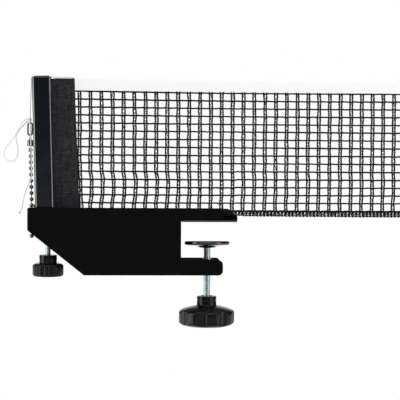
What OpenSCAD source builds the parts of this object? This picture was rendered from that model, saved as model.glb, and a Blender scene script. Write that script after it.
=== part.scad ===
// Table tennis net clamp: bracket, clamping screw, height-adjusted net post, cord tensioner
// and a stretch of net. The origin is the table's edge at playing height, half way across
// the bracket's depth. +X runs over the table, +Z is up. Millimetres.

/* [Bracket] */
// Outside depth across the two side plates
bracket_depth = 38; // [36:1:44]
// Thickness of the steel sheet
sheet_t = 1.5; // [1.2:0.1:2]
// Reach of the end wall outwards from the table's edge
end_reach = 163; // [160:1:175]
// Height of the front plate above the playing surface
front_rise = 14; // [13:0.5:18]
// Height of the rear plate above the playing surface
rear_rise = 12; // [11:0.5:13]
// Depth of the bracket below the playing surface
body_drop = 57.8; // [55:1:70]
// Opening of the jaws
jaw_gap = 41.5; // [38:0.5:45]
// Reach of the lower jaw past the table's edge
lower_reach = 45; // [42:1:60]
// Reach of the front plate over the table
front_reach = 45; // [42:1:50]
// Reach of the rear plate and the rest over the table
rest_reach = 63.8; // [58:0.1:75]
// Rounding of the jaw ends
jaw_corner_r = 5; // [2:0.5:6]
// Outside radius of the fold at the end wall
fold_r = 3; // [2:0.5:4]
// Depth of the end wall below the playing surface
end_drop = 10; // [9:1:12]
// Length along X of the sloping lower edge
slope_run = 60; // [56:1:70]
// Thickness of the pad under the table rest
rest_pad_t = 0.8; // [0.5:0.1:1.5]

/* [Clamping screw] */
// Distance of the clamping screw from the table's edge
clamp_x = 29.3; // [26:0.5:32]
// Mean diameter of the clamping screw's thread
clamp_d = 7.2; // [6:0.2:8]
// Diameter of the screw's ball end
ball_d = 6; // [5.6:0.1:6.2]
// Diameter of the neck below the ball
neck_d = 4.4; // [3.8:0.1:4.6]
// Depth of the pressure plate's rim below the playing surface
plate_drop = 23; // [21:0.5:24]
// Diameter of the pressure plate
plate_d = 49; // [44:1:52]
// Height of the pressure plate's rim
plate_rim_h = 3.6; // [3:0.1:4]
// Diameter of the pressure plate's boss
boss_d = 17; // [16:0.2:20]
// Height of the pressure plate's boss below its rim
boss_h = 2.2; // [1.8:0.1:2.6]
// Thickness of the pad on the pressure plate
plate_pad_t = 1; // [0.9:0.1:1.5]
// Angle at which the loose pressure plate hangs, front edge up
plate_hang = 4.5; // [0:0.5:5]
// Diameter of the clamping knob over its lobes
knob_d = 60; // [54:1:64]
// Height of the clamping knob's rim
knob_rim_h = 15.5; // [12:0.5:18]
// Diameter of the clamping knob's hub
knob_hub_d = 21; // [18:0.2:24]
// Height of the clamping knob's hub above the rim's shoulder
knob_hub_h = 16.5; // [14:0.5:20]
// Drop of the hub's top below the lower jaw
knob_hub_drop = 24.5; // [24:0.5:32]
// Number of lobes on the clamping knob
knob_lobes = 8; // [6:1:10]

/* [Height screw] */
// Distance of the height screw from the end wall's outside
lift_setback = 21.8; // [21:0.2:22.4]
// Mean diameter of the height screw's thread
lift_d = 5.4; // [5:0.2:6]
// Diameter of the height screw's journal in the post foot
journal_d = 4; // [3.6:0.2:4.4]
// Diameter of the height knob
lift_knob_d = 33; // [28:0.5:34]
// Height of the height knob's rim
lift_rim_h = 12.9; // [9:0.1:14]
// Diameter of the height knob's hub
lift_hub_d = 18.8; // [15:0.2:19]
// Height of the height knob's hub above its rim
lift_hub_h = 9.9; // [8:0.1:12]
// Drop of the height knob's top below the playing surface
lift_hub_drop = 37.4; // [36:0.1:44]
// Number of flutes on the height knob
lift_flutes = 16; // [12:1:24]
// Drop of the lift bridge's top below the playing surface
bridge_drop = 18; // [17.6:0.2:18.4]

/* [Post] */
// Height of the net above the playing surface
net_height = 152.5; // [150:0.5:155]
// Width of the post along the net
post_w = 20.5; // [19:0.5:21]
// Depth of the post across the net
post_d = 25; // [22:0.5:26]
// Wall of the post tube
post_wall = 1.5; // [1.2:0.1:2]
// Corner radius of the post tube
post_corner_r = 3.5; // [2.5:0.5:4]
// Outward lean of the post in degrees
post_lean = 1.6; // [1:0.1:2]
// Distance of the post's axis from the end wall's outside
post_setback = 18.5; // [18:0.1:19]
// Drop of the post foot's underside below the playing surface
foot_drop = 9.5; // [9:0.1:10]
// Height of the cap above the tube
cap_h = 2; // [1.6:0.1:3]
// Drop of the guide cheeks below the playing surface
guide_drop = 6; // [4:0.5:7]
// Height of the guide cheeks above the playing surface
guide_rise = 8.5; // [7:0.5:9]

/* [Cord and chain] */
// Diameter of the tension cord
cord_d = 1.2; // [1:0.1:1.4]
// Diameter of a chain ball
bead_d = 4.6; // [4:0.1:4.6]
// Distance between chain balls
bead_pitch = 6.56; // [6.2:0.02:6.8]
// Diameter of the chain's link wire
link_d = 1; // [0.8:0.1:1.2]
// Balls on the taut part of the chain
taut_beads = 10; // [8:1:10]
// Balls on the loose tail of the chain
tail_beads = 4; // [2:1:5]
// Distance of the chain from the post's face
chain_off = 3.75; // [3.7:0.01:3.78]
// Width of the oval ring
ring_w = 6.4; // [6:0.1:6.8]
// Height of the oval ring
ring_h = 15; // [13:0.5:16]
// Wire of the oval ring
ring_wire = 1.9; // [1.6:0.1:2.1]

/* [Net] */
// Length of net from the table's edge to its bound end
net_reach = 244; // [220:1:260]
// Distance between upright bars
mesh_pitch_x = 35.19; // [30:0.03:40]
// Number of level rows of gaps
mesh_rows = 15; // [12:1:15]
// Thickness of a yarn
yarn = 1; // [0.8:0.1:1.4]
// Height of the top tape
tape_h = 14; // [12:0.5:15]
// Clearance of the hem above the playing surface
hem_rise = 4.7; // [4.6:0.1:6]
// Height of the hem
hem_h = 5.3; // [4.6:0.1:6.2]
// Thickness of the side band
band_t = 2; // [1.4:0.1:2.2]
// Distance of the band's edge outside the table's edge at the top
band_top_x = 114; // [112:1:118]
// Distance of the band's edge outside the table's edge at the bottom
band_low_x = 107.7; // [106:1:111]
// Width of the end binding
binding_w = 10; // [8:1:16]

/* [Hidden] */

$fn = 48;
small_fn = 12;      // facets round balls, rings and knots
wire_fn = 8;        // facets round the wire of rings and links
eps = 0.01;
run_gap = 0.05;     // radial clearance of a shaft that turns in its bore
fit_gap = 0.05;     // clearance of a plug in its socket
slide_gap = 0.35;   // clearance of the post in its guides

// Bracket
inner_depth = bracket_depth - 2 * sheet_t;
half_in = inner_depth / 2;
half_out = bracket_depth / 2;
end_x = -end_reach;
rest_z = rest_pad_t;             // underside of the rest's sheet
floor_top = rest_z + sheet_t;
step_in = 4;                     // from the fold to the step in the end wall's upper edge
split_y = -half_out + fold_r + step_in;
heel_run = 1.5;                  // eased corner where the slope meets the end wall
heel_drop = 1.2;
tip_run = 10.3;
tip_h = 3.8;
liner_back = 3.5;                // the rest's end, back from the rear plate's tip
pad_back = 0.3;                  // the pad's end, back from the rest's end
top_corner_r = 2.5;
small_r = 1;

// Clamping group, levels along Z
plate_top = -plate_drop;
web_top = plate_top - 0.8;
plate_low = plate_top - plate_rim_h;
boss_low = plate_low - boss_h;
ball_z = boss_low + 1.4;
socket_gap = 0.1;
dish_in = 2.4;                   // width of the plate's sloping lower flank
boss_cone = 3.6;                 // widening of the boss at its foot
washer_t = 0.8;
washer_play = 0.6;               // room for the plate's tilt above the washer
washer_top = boss_low - washer_play;
shoulder_z = washer_top - washer_t - run_gap;
washer_d = 8;
knob_top = -body_drop - knob_hub_drop;
knob_shoulder = knob_top - knob_hub_h + 1;
knob_low = knob_top - knob_hub_h - knob_rim_h;
knob_edge = 6.2;                 // rounding of the knob's lower edge
knob_dome = 5.6;                 // rise of the knob's shoulder towards its hub
lobe_turn = 30.8;
insert_af = 11;
insert_deep = 2;                 // depth of the insert below the hub's top
insert_h = 12;
insert_r = insert_af / (2 * cos(30));
nut_collar_d = 10;
nut_proud = 0.8;
nut_af = 13;
nut_h = 10;

// Height group, levels along Z
lift_x = end_x + lift_setback;
bridge_top = -bridge_drop;
bridge_t = 2;
bridge_left = 7.8;
bridge_right = 12;
lift_nut_h = 5;
lift_nut_af = 10;
lift_top = -lift_hub_drop;
lift_shoulder = lift_top - lift_hub_h;
lift_low = lift_shoulder - lift_rim_h;
lift_edge = 2;
lift_insert_h = 9;
lift_insert_af = 8;
foot_low = -foot_drop;
foot_plate_t = 4;
clip_t = 0.7;
clip_d = 8;
clip_room = 1.4;                 // bore round the clip, over its diameter
groove_d = journal_d - 0.8;
journal_top = foot_low + foot_plate_t + 2;

// Post, in its own leaning frame
post_x = end_x + post_setback;
cap_plug_h = 5.4;
tube_top = (net_height + 0.9) / cos(post_lean) - cap_h;
tube_low = foot_low + 3;
foot_h = 11.5;
foot_top = foot_low + foot_h;
slot_w = band_t + 1;
rod_d = 5;
sleeve_t = 0.8;
rod_x = post_w / 2 - post_wall - sleeve_t - rod_d / 2 - fit_gap;
rod_top = tube_top - cap_plug_h - 1;
rod_low = foot_top + 2;
bevel = 1.8;                     // height of the cap's bevel
bevel_in = 2.9;                  // width of the cap's bevel
groove_low = 0.2;                // bottom of the cap's cord groove above the tube

// Cord and chain
lean_shift = tan(post_lean);
catch_z = 12.3;
catch_t = 1.5;
catch_y = 5;
catch_wall = 1.2;
catch_rise = 4.3;
chain_x0 = post_x - (post_w / 2 + chain_off) - catch_z * lean_shift;
chain_lean = 1.38;
function chain_x(z) = chain_x0 - (z - catch_z) * tan(chain_lean);
catch_gap = link_d + 0.6;
catch_low = (catch_z - catch_t / 2) * cos(post_lean) - (post_w / 2 + chain_off) * sin(post_lean);
seat_z = catch_low - sqrt(pow(bead_d / 2, 2) - pow(catch_gap / 2, 2)) - run_gap;
bead_z0 = seat_z + bead_pitch;
top_bead_z = bead_z0 + (taut_beads - 1) * bead_pitch;
bell_low = top_bead_z + 4;
bell_h = 7.3;
bell_r = 3.2;
bell_wall = 0.6;
bell_top = bell_low + bell_h;
eye_wire = 1;
eye_r = 1.7;
ring_low = bell_top + 3.6;
ring_mid = ring_low + ring_h / 2;
ring_top = ring_low + ring_h;
ring_x = chain_x(ring_mid);
eye_z = ring_low + ring_wire - eye_r + eye_wire / 2 + 3 * fit_gap;
knot_x = chain_x(ring_top) - 0.1;
knot_z = ring_top + 2.2;
knot_r = 1.7;
loop_r = ring_wire / 2 + cord_d / 2 + fit_gap;

// Net
band_top = net_height - 0.9;
mesh_top = net_height - tape_h;
mesh_fold = 4;                   // net taken up between the tape's two layers
mesh_low = hem_rise + hem_h;
mesh_pitch_z = (mesh_top - yarn - mesh_low) / mesh_rows;
first_bay = 10;                 // from the band's lower end to the first upright bar
first_upright = -band_low_x + first_bay;
upright_count = ceil((net_reach - 3 * yarn - first_upright) / mesh_pitch_x);
tape_t = 2.6;
tape_layer = 0.5;
post_face = post_w / 2 + 0.3;
function band_x(z) =
    -band_low_x - (z - hem_rise) * (band_top_x - band_low_x) / (band_top - hem_rise);

// Routes of the two loose ends of the cord: points chosen along the way they hang
bow_route = [[-162.7, -0.4, 107.3], [-165.6, -1, 107], [-168.4, -1.2, 104.4], [-171.4, -1.1, 100.2],
             [-173.9, -1, 95.4], [-176.2, -1, 90.2], [-179.9, -0.8, 85.3], [-184.2, -0.6, 80.4],
             [-187.4, -0.4, 74.8], [-188.2, -0.1, 69.4], [-185.8, 0.1, 64.5], [-181, 0.4, 62.4],
             [-176.8, 0.6, 64], [-174.3, 0.8, 69], [-173.9, 1, 75], [-174.8, 1.1, 81.6],
             [-176, 1.2, 88.2], [-173.8, 1.1, 94], [-169.2, 0.8, 99.4], [-165, 0.5, 104],
             [-162.8, 0.2, 106]];
tail_route = [[-161.1, -2, 106.1], [-161, -3.3, 104.2], [-160.6, -4.2, 98.6], [-160, -4.4, 90],
              [-159.6, -4.4, 80], [-159.2, -4.4, 70], [-159, -4.2, 60], [-158.7, -4, 51],
              [-159.1, -4, 44.4], [-162.2, -3.8, 38], [-165.4, -3.4, 31.4], [-167, -3, 24.8],
              [-168.4, -2.6, 17.4], [-169.6, -2.2, 11.6], [-171.1, -2, 8.8]];

// ---------- helpers ----------

// points of an arc, in order from angle a0 to angle a1
function arc(cx, cy, r, a0, a1, n = 6) =
    [for (i = [0 : n]) [cx + r * cos(a0 + (a1 - a0) * i / n), cy + r * sin(a0 + (a1 - a0) * i / n)]];

// an outline drawn in X and Z, given depth along Y from y0 to y1
module across(y0, y1) {
    translate([0, y1, 0]) rotate([90, 0, 0]) linear_extrude(y1 - y0) children();
}

// an outline drawn in Y and Z, given length along X from x0 to x1
module along(x0, x1) {
    translate([x0, 0, 0]) rotate([90, 0, 90]) linear_extrude(x1 - x0) children();
}

// a rectangle centred on the origin with rounded corners
module rounded(w, d, r) {
    polygon(concat(arc(w / 2 - r, d / 2 - r, r, 0, 90), arc(r - w / 2, d / 2 - r, r, 90, 180),
                   arc(r - w / 2, r - d / 2, r, 180, 270), arc(w / 2 - r, r - d / 2, r, 270, 360)));
}

// the leaning frame of the post
module in_post() {
    translate([post_x, 0, 0]) rotate([0, -post_lean, 0]) children();
}

// a hexagon prism by its width across flats
module hex(af, h) {
    rotate(30) cylinder(h = h, r = af / (2 * cos(30)), $fn = 6);
}

// a rod between two points of the XZ plane
module wire(a, b, d) {
    length = norm(b - a);
    translate(a) rotate([0, atan2(b[0] - a[0], b[2] - a[2]), 0])
        cylinder(h = length, d = d, $fn = wire_fn);
}

// ---------- swept cord ----------

function unit(v) = v / norm(v);
function heading(route, i) = unit(route[min(i + 1, len(route) - 1)] - route[max(i - 1, 0)]);
function blend4(a, b, c, d, t) =
    0.5 * (2 * b + (c - a) * t + (2 * a - 5 * b + 4 * c - d) * t * t + (3 * b - 3 * c + d - a) * t * t * t);
// the route with one more point half way along each stretch
function smooth(route) = [for (i = [0 : len(route) - 2], t = [0, 0.5])
    blend4(route[max(i - 1, 0)], route[i], route[i + 1], route[min(i + 2, len(route) - 1)], t)];
function finer(route) = concat(smooth(route), [route[len(route) - 1]]);
function ring_at(p, dir, d, sides) =
    let (side = unit(cross(dir, [0, 1, 0])), up = cross(side, dir))
    [for (k = [0 : sides - 1]) p + d / 2 * (cos(360 * k / sides) * side + sin(360 * k / sides) * up)];

// a tube of a given diameter along a route
module sweep(route, d, sides = 8) {
    count = len(route);
    points = [for (i = [0 : count - 1]) each ring_at(route[i], heading(route, i), d, sides)];
    walls = [for (i = [0 : count - 2], k = [0 : sides - 1])
        let (a = i * sides + k, b = i * sides + (k + 1) % sides)
        each [[a, a + sides, b], [b, a + sides, b + sides]]];
    caps = [[for (k = [0 : sides - 1]) k], [for (k = [sides - 1 : -1 : 0]) (count - 1) * sides + k]];
    polyhedron(points = points, faces = concat(walls, caps), convexity = 10);
}

// ---------- bracket ----------

module front_outline() {
    polygon(concat(
        arc(end_x + top_corner_r, front_rise - top_corner_r, top_corner_r, 180, 90),
        arc(front_reach - small_r, front_rise - small_r, small_r, 90, 0, 3),
        arc(front_reach - jaw_corner_r, rest_z + jaw_corner_r, jaw_corner_r, 0, -90),
        [[0, rest_z], [0, -jaw_gap]], lower_jaw_end(), lower_edge()));
}

module rear_outline() {
    polygon(concat(
        [[end_x, rear_rise], [rest_reach - tip_run, rear_rise], [rest_reach, tip_h],
         [rest_reach, rest_z], [0, rest_z], [0, -jaw_gap]], lower_jaw_end(), lower_edge()));
}

function lower_jaw_end() = concat(
    arc(lower_reach - jaw_corner_r, -jaw_gap - jaw_corner_r, jaw_corner_r, 90, 0),
    arc(lower_reach - jaw_corner_r, -body_drop + jaw_corner_r, jaw_corner_r, 0, -90));

function lower_edge() = [[end_x + slope_run, -body_drop],
                         [end_x + heel_run, -end_drop - heel_drop], [end_x, -end_drop]];

// plan of the folded sheet: two side plates and the end wall
module fold_plan() {
    difference() {
        polygon(concat(arc(end_x + fold_r, -half_out + fold_r, fold_r, 270, 180),
                       arc(end_x + fold_r, half_out - fold_r, fold_r, 180, 90),
                       [[rest_reach + 1, half_out], [rest_reach + 1, -half_out]]));
        polygon(concat(arc(end_x + fold_r, -half_out + fold_r, fold_r - sheet_t, 270, 180),
                       arc(end_x + fold_r, half_out - fold_r, fold_r - sheet_t, 180, 90),
                       [[rest_reach + 2, half_in], [rest_reach + 2, -half_in]]));
    }
}

module fold_sheet() {
    translate([0, 0, -body_drop - 1]) linear_extrude(body_drop + front_rise + 2) fold_plan();
}

module side_shell() color([0.07, 0.075, 0.085]) {
    intersection() {
        fold_sheet();
        across(-half_out - 1, split_y) front_outline();
    }
    intersection() {
        fold_sheet();
        across(split_y, half_out + 1) rear_outline();
    }
}

// the bent strip between the side plates
module jaw_liner() color([0.07, 0.075, 0.085]) {
    difference() {
        across(-half_in, half_in)
            polygon(concat([[rest_reach - liner_back, rest_z]],
                           arc(small_r, rest_z - small_r, small_r, 90, 180, 4),
                           arc(small_r, -jaw_gap + small_r, small_r, 180, 270, 4),
                           [[lower_reach - jaw_corner_r, -jaw_gap],
                            [lower_reach - jaw_corner_r, -jaw_gap - sheet_t]],
                           arc(small_r, -jaw_gap + small_r, small_r + sheet_t, 270, 180, 4),
                           arc(small_r, rest_z - small_r, small_r + sheet_t, 180, 90, 4),
                           [[rest_reach - liner_back, floor_top]]));
        translate([clamp_x, 0, -jaw_gap - sheet_t - 1])
            cylinder(h = sheet_t + 2, d = nut_collar_d + 2 * fit_gap);
    }
}

module rest_pad() color([0.42, 0.42, 0.41]) {
    pad_end = rest_reach - liner_back - pad_back;
    front_end = front_reach - jaw_corner_r;
    linear_extrude(rest_pad_t)
        polygon([[small_r, -half_out], [front_end, -half_out], [front_end, -half_in],
                 [pad_end, -half_in], [pad_end, half_out], [small_r, half_out]]);
}

module clamp_nut() color([0.72, 0.74, 0.77]) {
    translate([clamp_x, 0, 0]) difference() {
        union() {
            translate([0, 0, -jaw_gap - sheet_t - nut_h]) hex(nut_af, nut_h);
            translate([0, 0, -jaw_gap - sheet_t - eps])
                cylinder(h = sheet_t + nut_proud + eps, d = nut_collar_d);
        }
        translate([0, 0, -jaw_gap - sheet_t - nut_h - 1])
            cylinder(h = nut_h + sheet_t + nut_proud + 2, d = clamp_d + 2 * run_gap);
    }
}

module lift_bridge() color([0.07, 0.075, 0.085]) {
    translate([lift_x, 0, bridge_top]) difference() {
        union() {
            translate([-bridge_left, -half_in, -bridge_t])
                cube([bridge_left + bridge_right, inner_depth, bridge_t]);
            for (side = [-half_in, half_in - bridge_t])
                translate([-bridge_left, side, -bridge_t])
                    cube([bridge_left + bridge_right, bridge_t, bridge_t + 5]);
        }
        translate([0, 0, -bridge_t - 1]) cylinder(h = bridge_t + 2, d = lift_d + 1);
    }
}

module lift_nut() color([0.72, 0.74, 0.77]) {
    translate([lift_x, 0, bridge_top]) difference() {
        hex(lift_nut_af, lift_nut_h);
        translate([0, 0, -1]) cylinder(h = lift_nut_h + 2, d = lift_d + 2 * run_gap);
    }
}

// one cheek of the post's guide, for the side of negative Y
module guide_cheek() {
    cheek_in = post_d / 2 - 2.5;
    difference() {
        translate([post_x - post_w / 2 - 2.8, -half_in, -guide_drop])
            cube([post_w + 8.6, half_in - cheek_in, guide_drop + guide_rise]);
        in_post() translate([0, 0, -guide_drop - guide_rise])
            linear_extrude(2 * guide_drop + 3 * guide_rise)
                rounded(post_w + 2 * slide_gap + 0.4, post_d + 2 * slide_gap, post_corner_r + slide_gap);
    }
}

module post_guide_front() color([0.16, 0.16, 0.17]) guide_cheek();

module post_guide_rear() color([0.16, 0.16, 0.17]) mirror([0, 1, 0]) guide_cheek();

// ---------- clamping screw and pressure plate ----------

module swivel_washer() color([0.72, 0.74, 0.77]) {
    translate([clamp_x, 0, washer_top - washer_t]) difference() {
        cylinder(h = washer_t, d = washer_d);
        translate([0, 0, -1]) cylinder(h = washer_t + 2, d = neck_d + 2 * run_gap);
    }
}

module clamp_screw() color([0.70, 0.74, 0.78]) {
    ball_r = ball_d / 2;
    neck_turn = asin(neck_d / ball_d);
    screw_low = knob_top - insert_deep - insert_h;
    translate([clamp_x, 0, 0]) rotate_extrude() polygon(concat(
        arc(0, ball_z, ball_r, 90, neck_turn - 90, 8),
        [[neck_d / 2, shoulder_z], [clamp_d / 2, shoulder_z], [clamp_d / 2, screw_low], [0, screw_low]]));
}

// half section of the clamping knob
module knob_section() {
    hub_r = knob_hub_d / 2;
    rim_r = knob_d / 2;
    polygon(concat([[0, knob_top], [hub_r, knob_top], [hub_r, knob_shoulder + knob_dome],
                    [rim_r * 0.67, knob_shoulder + knob_dome * 0.6],
                    [rim_r * 0.87, knob_shoulder + knob_dome * 0.2],
                    [rim_r - 0.9, knob_shoulder - 1.4], [rim_r, knob_shoulder - 3.8]],
                   arc(rim_r - knob_edge, knob_low + knob_edge, knob_edge, 0, -90, 3),
                   [[0, knob_low]]));
}

module clamp_knob() color([0.06, 0.06, 0.065]) {
    flute_r = 12;
    flute_deep = 2.4;
    translate([clamp_x, 0, 0]) difference() {
        rotate_extrude() knob_section();
        for (i = [0 : knob_lobes - 1])
            rotate(lobe_turn + 360 * i / knob_lobes)
                translate([knob_d / 2 - flute_deep + flute_r, 0, knob_low - 1])
                    cylinder(h = knob_top - knob_low, r = flute_r);
        translate([0, 0, knob_top - insert_deep]) cylinder(h = insert_deep + 1, r = insert_r + 0.2);
        translate([0, 0, knob_top - insert_deep - insert_h]) hex(insert_af, insert_h + 1);
    }
}

module knob_insert() color([0.72, 0.74, 0.77]) {
    translate([clamp_x, 0, knob_top - insert_deep - insert_h]) difference() {
        hex(insert_af, insert_h);
        translate([0, 0, -1]) cylinder(h = insert_h + 2, d = clamp_d + 2 * fit_gap);
    }
}

// turns what the screw's ball carries about the ball's middle
module hanging() {
    translate([clamp_x, 0, ball_z]) rotate([-plate_hang, 0, 0]) translate([-clamp_x, 0, -ball_z]) children();
}

module pressure_plate() color([0.16, 0.16, 0.18]) {
    rim_r = plate_d / 2;
    boss_r = boss_d / 2;
    pad_seat = rim_r - 2;
    socket_r = ball_d / 2 + socket_gap;
    mouth = asin((ball_z - boss_low) / socket_r);
    hanging() translate([clamp_x, 0, 0]) rotate_extrude() polygon(concat(
        arc(0, ball_z, socket_r, -mouth, 90, 5),
        [[0, web_top], [pad_seat, web_top], [pad_seat, plate_top]],
        arc(rim_r - 1.2, plate_top - 1.2, 1.2, 90, 0, 3),
        [[rim_r, plate_top - 1.6], [rim_r - dish_in * 0.3, plate_low + 0.9], [rim_r - dish_in, plate_low],
         [boss_r + boss_cone, plate_low - 0.4], [boss_r, boss_low]]));
}

module plate_pad() color([0.10, 0.10, 0.10]) {
    hanging() translate([clamp_x, 0, web_top]) cylinder(h = plate_pad_t, d = plate_d - 4 - 2 * fit_gap);
}

// ---------- height screw ----------

module lift_screw() color([0.70, 0.74, 0.78]) {
    shoulder = foot_low - run_gap;
    clip_seat = foot_low + foot_plate_t + run_gap;
    translate([lift_x, 0, 0]) {
        translate([0, 0, lift_top - lift_insert_h])
            cylinder(h = shoulder - lift_top + lift_insert_h, d = lift_d);
        difference() {
            translate([0, 0, shoulder - eps]) cylinder(h = journal_top - shoulder, d = journal_d);
            translate([0, 0, clip_seat]) difference() {
                cylinder(h = clip_t + 2 * run_gap, d = journal_d + 1);
                translate([0, 0, -1]) cylinder(h = clip_t + 3, d = groove_d);
            }
        }
    }
}

module lift_knob() color([0.06, 0.06, 0.065]) {
    hub_r = lift_hub_d / 2;
    rim_r = lift_knob_d / 2;
    flute_r = 1.6;
    flute_deep = 0.7;
    translate([lift_x, 0, 0]) difference() {
        rotate_extrude() polygon([[0, lift_top], [hub_r, lift_top], [hub_r, lift_shoulder + 1.6],
            [rim_r * 0.8, lift_shoulder + 0.9], [rim_r - 0.7, lift_shoulder - 0.3],
            [rim_r, lift_shoulder - 1.3], [rim_r, lift_low + lift_edge],
            [rim_r - lift_edge * 0.35, lift_low + lift_edge * 0.3],
            [rim_r - lift_edge * 1.2, lift_low], [0, lift_low]]);
        for (i = [0 : lift_flutes - 1])
            rotate(360 * (i + 0.35) / lift_flutes)
                translate([rim_r - flute_deep + flute_r, 0, lift_low - 1])
                    cylinder(h = lift_rim_h + 1, r = flute_r);
        translate([0, 0, lift_top - lift_insert_h]) hex(lift_insert_af, lift_insert_h + 1);
    }
}

module lift_insert() color([0.72, 0.74, 0.77]) {
    translate([lift_x, 0, lift_top - lift_insert_h]) difference() {
        hex(lift_insert_af, lift_insert_h);
        translate([0, 0, -1]) cylinder(h = lift_insert_h + 2, d = lift_d + 2 * fit_gap);
    }
}

module lift_clip() color([0.72, 0.74, 0.77]) {
    translate([lift_x, 0, foot_low + foot_plate_t + 2 * run_gap]) difference() {
        cylinder(h = clip_t, d = clip_d);
        translate([0, 0, -1]) cylinder(h = clip_t + 2, d = groove_d + fit_gap);
        translate([-groove_d / 2, 0, -1]) cube([groove_d, clip_d, clip_t + 2]);
    }
}

// ---------- post ----------

module post_tube() color([0.06, 0.07, 0.09]) {
    in_post() translate([0, 0, tube_low]) linear_extrude(tube_top - tube_low) difference() {
        rounded(post_w, post_d, post_corner_r);
        rounded(post_w - 2 * post_wall, post_d - 2 * post_wall, post_corner_r - post_wall);
        translate([post_w / 4, -slot_w / 2]) square([post_w, slot_w]);
    }
}

module post_cap() color([0.06, 0.06, 0.065]) {
    inner_w = post_w - 2 * post_wall - 2 * fit_gap;
    inner_d = post_d - 2 * post_wall - 2 * fit_gap;
    in_post() translate([0, 0, tube_top]) difference() {
        union() {
            linear_extrude(cap_h - bevel) rounded(post_w, post_d, post_corner_r);
            hull() {
                translate([0, 0, cap_h - bevel - eps]) linear_extrude(eps)
                    rounded(post_w, post_d, post_corner_r);
                translate([0, 0, cap_h - eps]) linear_extrude(eps)
                    rounded(post_w - 2 * bevel_in, post_d - 2 * bevel_in, post_corner_r - bevel_in);
            }
            translate([0, 0, -cap_plug_h]) linear_extrude(cap_plug_h + eps)
                rounded(inner_w, inner_d, post_corner_r - post_wall);
        }
        translate([-post_w, -cord_d / 2 - 0.3, groove_low]) cube([2 * post_w, cord_d + 0.6, cap_h]);
        translate([post_w / 4, -slot_w / 2, -cap_plug_h - 1]) cube([post_w, slot_w, cap_plug_h + 1]);
    }
}

// plug in the post's lower end, which stands on the height screw
module post_foot() color([0.16, 0.16, 0.17]) {
    inner_w = post_w - 2 * post_wall - 2 * fit_gap;
    inner_d = post_d - 2 * post_wall - 2 * fit_gap;
    difference() {
        in_post() {
            translate([0, 0, foot_low - 1]) linear_extrude(tube_low - foot_low + 1)
                rounded(post_w, post_d, post_corner_r);
            translate([0, 0, tube_low - eps]) linear_extrude(foot_top - tube_low)
                rounded(inner_w, inner_d, post_corner_r - post_wall);
        }
        translate([post_x - post_w, -post_d, foot_low - foot_h]) cube([2 * post_w, 2 * post_d, foot_h]);
        translate([lift_x, 0, foot_low - 1]) cylinder(h = foot_plate_t + 2, d = journal_d + 2 * run_gap);
        translate([lift_x, 0, foot_low + foot_plate_t]) cylinder(h = foot_h, d = clip_d + clip_room);
    }
}

// notched tab that holds the chain between two of its balls
module chain_catch() color([0.06, 0.07, 0.09]) {
    leg = chain_off + 2.2;
    in_post() translate([-post_w / 2, 0, catch_z - catch_t / 2]) difference() {
        union() {
            translate([-catch_wall, -catch_y, 0]) cube([catch_wall, 2 * catch_y, catch_t + catch_rise]);
            translate([-leg, -catch_y, 0]) cube([leg, 2 * catch_y, catch_t]);
        }
        hull() {
            translate([-chain_off, 0, -1]) cylinder(h = catch_t + 2, d = catch_gap);
            translate([-leg - 2, 0, -1]) cylinder(h = catch_t + 2, d = catch_gap);
        }
    }
}

module catch_rivets() color([0.72, 0.74, 0.77]) {
    in_post() for (y = [-3.3, 3.3])
        translate([-post_w / 2 - catch_wall, y, catch_z + catch_t / 2 + catch_rise - 2])
            rotate([0, -90, 0]) cylinder(h = 0.7, d = 2.8);
}

// ---------- cord tensioner ----------

module tension_cord() color([0.93, 0.93, 0.90]) {
    in_tape = net_height - tape_layer - cord_d / 2 - fit_gap;
    on_band = band_top + cord_d / 2 + fit_gap;
    mid_x = post_x - net_height * lean_shift;
    mid_z = (tube_top + groove_low) * cos(post_lean);
    edge_x = mid_x - post_w / 2;
    edge_z = mid_z - post_w / 2 * lean_shift;
    bend = cord_d / 2 + 0.1;
    sweep([[net_reach - 1, 0, in_tape], [-band_top_x + 2, 0, in_tape], [-band_top_x, 0, in_tape + 0.05],
           [-band_top_x - 4.2, 0, on_band + 0.05],
           [mid_x + post_w / 2, 0, edge_z + bend + post_w * lean_shift],
           [edge_x + 1, 0, edge_z + bend + lean_shift], [edge_x, 0, edge_z + bend],
           [edge_x - bend * 0.71, 0, edge_z + bend * 0.71], [edge_x - bend, 0, edge_z],
           [edge_x - bend - 0.1, 0, edge_z - 4], [knot_x, 0, knot_z + knot_r + fit_gap]], cord_d);
}

module cord_knot() color([0.93, 0.93, 0.90]) {
    translate([knot_x, 0, knot_z]) sphere(r = knot_r, $fn = small_fn);
    translate([knot_x + 0.1, 0, ring_top - ring_wire / 2]) rotate([0, 90, 0])
        rotate_extrude($fn = small_fn) translate([loop_r, 0]) circle(d = cord_d, $fn = wire_fn);
}

// an oval of round wire: two straight limbs and two half rings
module cord_ring() color([0.78, 0.76, 0.72]) {
    bend = (ring_w - ring_wire) / 2;
    limb = ring_h / 2 - ring_wire / 2 - bend;
    translate([ring_x, 0, ring_mid]) rotate([90, 0, 0]) {
        for (side = [-1, 1]) {
            translate([side * bend, -limb, 0]) rotate([-90, 0, 0])
                cylinder(h = 2 * limb, d = ring_wire, $fn = wire_fn);
            translate([0, side * limb, 0]) rotate([0, 0, side > 0 ? 0 : 180])
                rotate_extrude(angle = 180, $fn = small_fn)
                    translate([bend, 0]) circle(d = ring_wire, $fn = wire_fn);
        }
    }
}

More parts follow.
